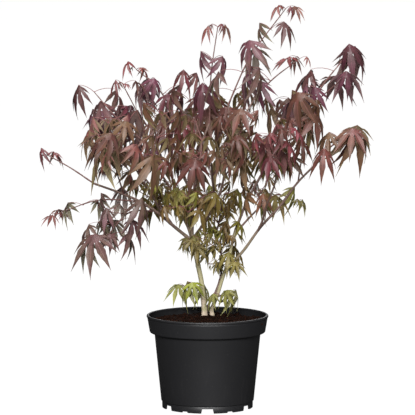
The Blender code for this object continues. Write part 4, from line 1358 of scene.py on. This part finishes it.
class MAPLE_OT_foliage(Operator):
    """Grow the side twigs, stalks and leaves on from the boughs"""

    bl_idname = "maple.foliage"
    bl_label = "Twigs and leaves"

    def execute(self, context):
        growth = Growth(settings().foliage)
        for index, (mass, (*_, draw_number, _)) in enumerate(MASSES.items()):
            growth.shoot(mass, random.Random(SPRAY_SEED + index + 1000 * draw_number))
        self.leaves(growth)
        self.twigs(growth)
        return {"FINISHED"}

    def leaves(self, growth):
        """Joins the leaves by tone and side, with a material slot for each colour and side."""
        group = leaf_group()
        skins = {}
        for tone, shades in TONES.items():
            sides = [(index, lower) for index in range(len(shades)) for lower in (0, 1)]
            skins[tone] = [leaf_material(group, tone, *side) for side in sides]
        covered = {}
        for mass, (_, _, _, _, _, tone, *_) in MASSES.items():
            covered.setdefault(foliage_name(tone, mass), []).append(f"leaves_{mass}")
        placed = {}
        for full, matrix, (tone, shade), mass in growth.leaves:
            slot = 2 * (shade % len(TONES[tone]))
            copies = placed.setdefault((foliage_name(tone, mass), tone), [])
            copies.append((full, matrix, [slot, slot + 1]))
        for (name, tone), copies in placed.items():
            slot = LEAF_SLOTS.get(tone, f"leaves_{tone}")
            show(name, joined(name, copies), skins[tone], covered.pop(name, []))
        if covered:
            raise RuntimeError(f"no leaves stand for {covered}")

    def twigs(self, growth):
        """Joins the mass stems and side twigs, and the leaf stalks, each kind apart."""
        bark = bpy.data.node_groups["young_bark"]
        wanted = settings().foliage
        twig = bark_material("twig_bark", bark, *[wanted.twig] * 3, TWIG_FINISH)
        stalk = bark_material("leaf_stalk", bark, *[wanted.stalk] * 3, STALK_FINISH)
        still = Matrix.Identity(4)
        placed = []
        for route, radius, tip_radius in growth.twigs:
            bm = tube(smooth_route(route, TWIG_RING_GAP), twig_radius(radius, tip_radius), TWIG_SIDES)
            placed.append((arrays_of(bm), still, [0]))
        show("twigs", joined("twigs", placed, 60), twig)
        template = stalk_template()
        placed = [(stalk_arrays(template, *sizes), still, [0]) for sizes in growth.stalks]
        show("leaf_stalks", joined("leaf_stalks", placed, 60), stalk)


# Stage


class MAPLE_OT_stage(Operator):
    """Set the pale floor, the soft lights and the camera"""

    bl_idname = "maple.stage"
    bl_label = "Stage"

    def execute(self, context):
        scene = context.scene
        wanted = settings().stage
        self.floor()
        self.world(scene)
        for name, sizes in LIGHTS.items():
            self.light(name, *sizes)
        camera = linked("camera", bpy.data.cameras.new("camera"))
        camera.location = (0.0, -wanted.distance, wanted.height)
        aim = Vector(wanted.aim) - camera.location
        camera.rotation_euler = aim.to_track_quat("-Z", "Y").to_euler()
        camera.data.sensor_fit = "HORIZONTAL"
        camera.data.angle = 2 * math.atan(wanted.frame_width / 2 / aim.length)
        camera.data.clip_end = VIEW_END
        scene.camera = camera
        scene.view_settings.view_transform = "Standard"
        return {"FINISHED"}

    def floor(self):
        """A wide disc that is white to the camera and casts little light."""
        bm = bmesh.new()
        bmesh.ops.create_circle(bm, cap_ends=True, segments=96, radius=FLOOR_RADIUS)
        floor = linked("floor", mesh_of(bm, "floor"))
        paint = bpy.data.materials.new("pale_floor")
        paint.use_nodes = True
        tree = paint.node_tree
        looks = {
            "Base Color": (0.05, 0.05, 0.05),
            "Roughness": 0.95,
            "Specular IOR Level": 0.0,
            "Emission Color": (1, 1, 1),
            "Emission Strength": add_node(tree, "ShaderNodeLightPath", {})["Is Camera Ray"],
        }
        fill(tree, tree.nodes["Principled BSDF"], looks)
        floor.data.materials.append(paint)

    def world(self, scene):
        """A background that is white to the camera and dim to the plant."""
        world = bpy.data.worlds.new("studio")
        world.use_nodes = True
        tree = world.node_tree
        seen = tree.nodes["Background"]
        fill(tree, seen, {"Color": (1, 1, 1), "Strength": 1.0})
        lit = add_node(tree, "ShaderNodeBackground", DIM_SKY)
        on_camera = add_node(tree, "ShaderNodeLightPath", {})["Is Camera Ray"]
        blend = add_node(tree, "ShaderNodeMixShader", {0: on_camera, 1: lit[0], 2: seen.outputs[0]})
        fill(tree, tree.nodes["World Output"], {"Surface": blend[0]})
        scene.world = world

    def light(self, name, place, width, power):
        lamp = bpy.data.lights.new(name, "AREA")
        lamp.shape = "DISK"
        lamp.size = width
        lamp.energy = power
        item = linked(name, lamp)
        item.location = place
        item.rotation_euler = (LIGHT_AIM - item.location).to_track_quat("-Z", "Y").to_euler()


class MapleSettings(PropertyGroup):
    pot: PointerProperty(type=PotSettings)
    compost: PointerProperty(type=CompostSettings)
    bark: PointerProperty(type=BarkSettings)
    foliage: PointerProperty(type=FoliageSettings)
    stage: PointerProperty(type=StageSettings)


class MAPLE_PT_panel(Panel):
    """The plant's groups of pieces and their sizes and colours"""

    bl_label = "Maple"
    bl_idname = "MAPLE_PT_panel"
    bl_space_type = "VIEW_3D"
    bl_region_type = "UI"
    bl_category = "Maple"

    def draw(self, context):
        for name in MapleSettings.__annotations__:
            box = self.layout.box()
            box.operator(f"maple.{name}")
            chosen = getattr(context.scene.maple, name)
            for key in chosen.__annotations__:
                box.prop(chosen, key)


CLASSES = (
    PotSettings,
    CompostSettings,
    BarkSettings,
    FoliageSettings,
    StageSettings,
    MapleSettings,
    MAPLE_OT_pot,
    MAPLE_OT_compost,
    MAPLE_OT_bark,
    MAPLE_OT_foliage,
    MAPLE_OT_stage,
    MAPLE_PT_panel,
)


def register():
    for kind in CLASSES:
        bpy.utils.register_class(kind)
    bpy.types.Scene.maple = PointerProperty(type=MapleSettings)


def unregister():
    del bpy.types.Scene.maple
    for kind in reversed(CLASSES):
        bpy.utils.unregister_class(kind)


def main():
    register()
    bpy.ops.maple.pot()
    bpy.ops.maple.compost()
    bpy.ops.maple.bark()
    bpy.ops.maple.foliage()
    bpy.ops.maple.stage()


if __name__ == "__main__":
    main()
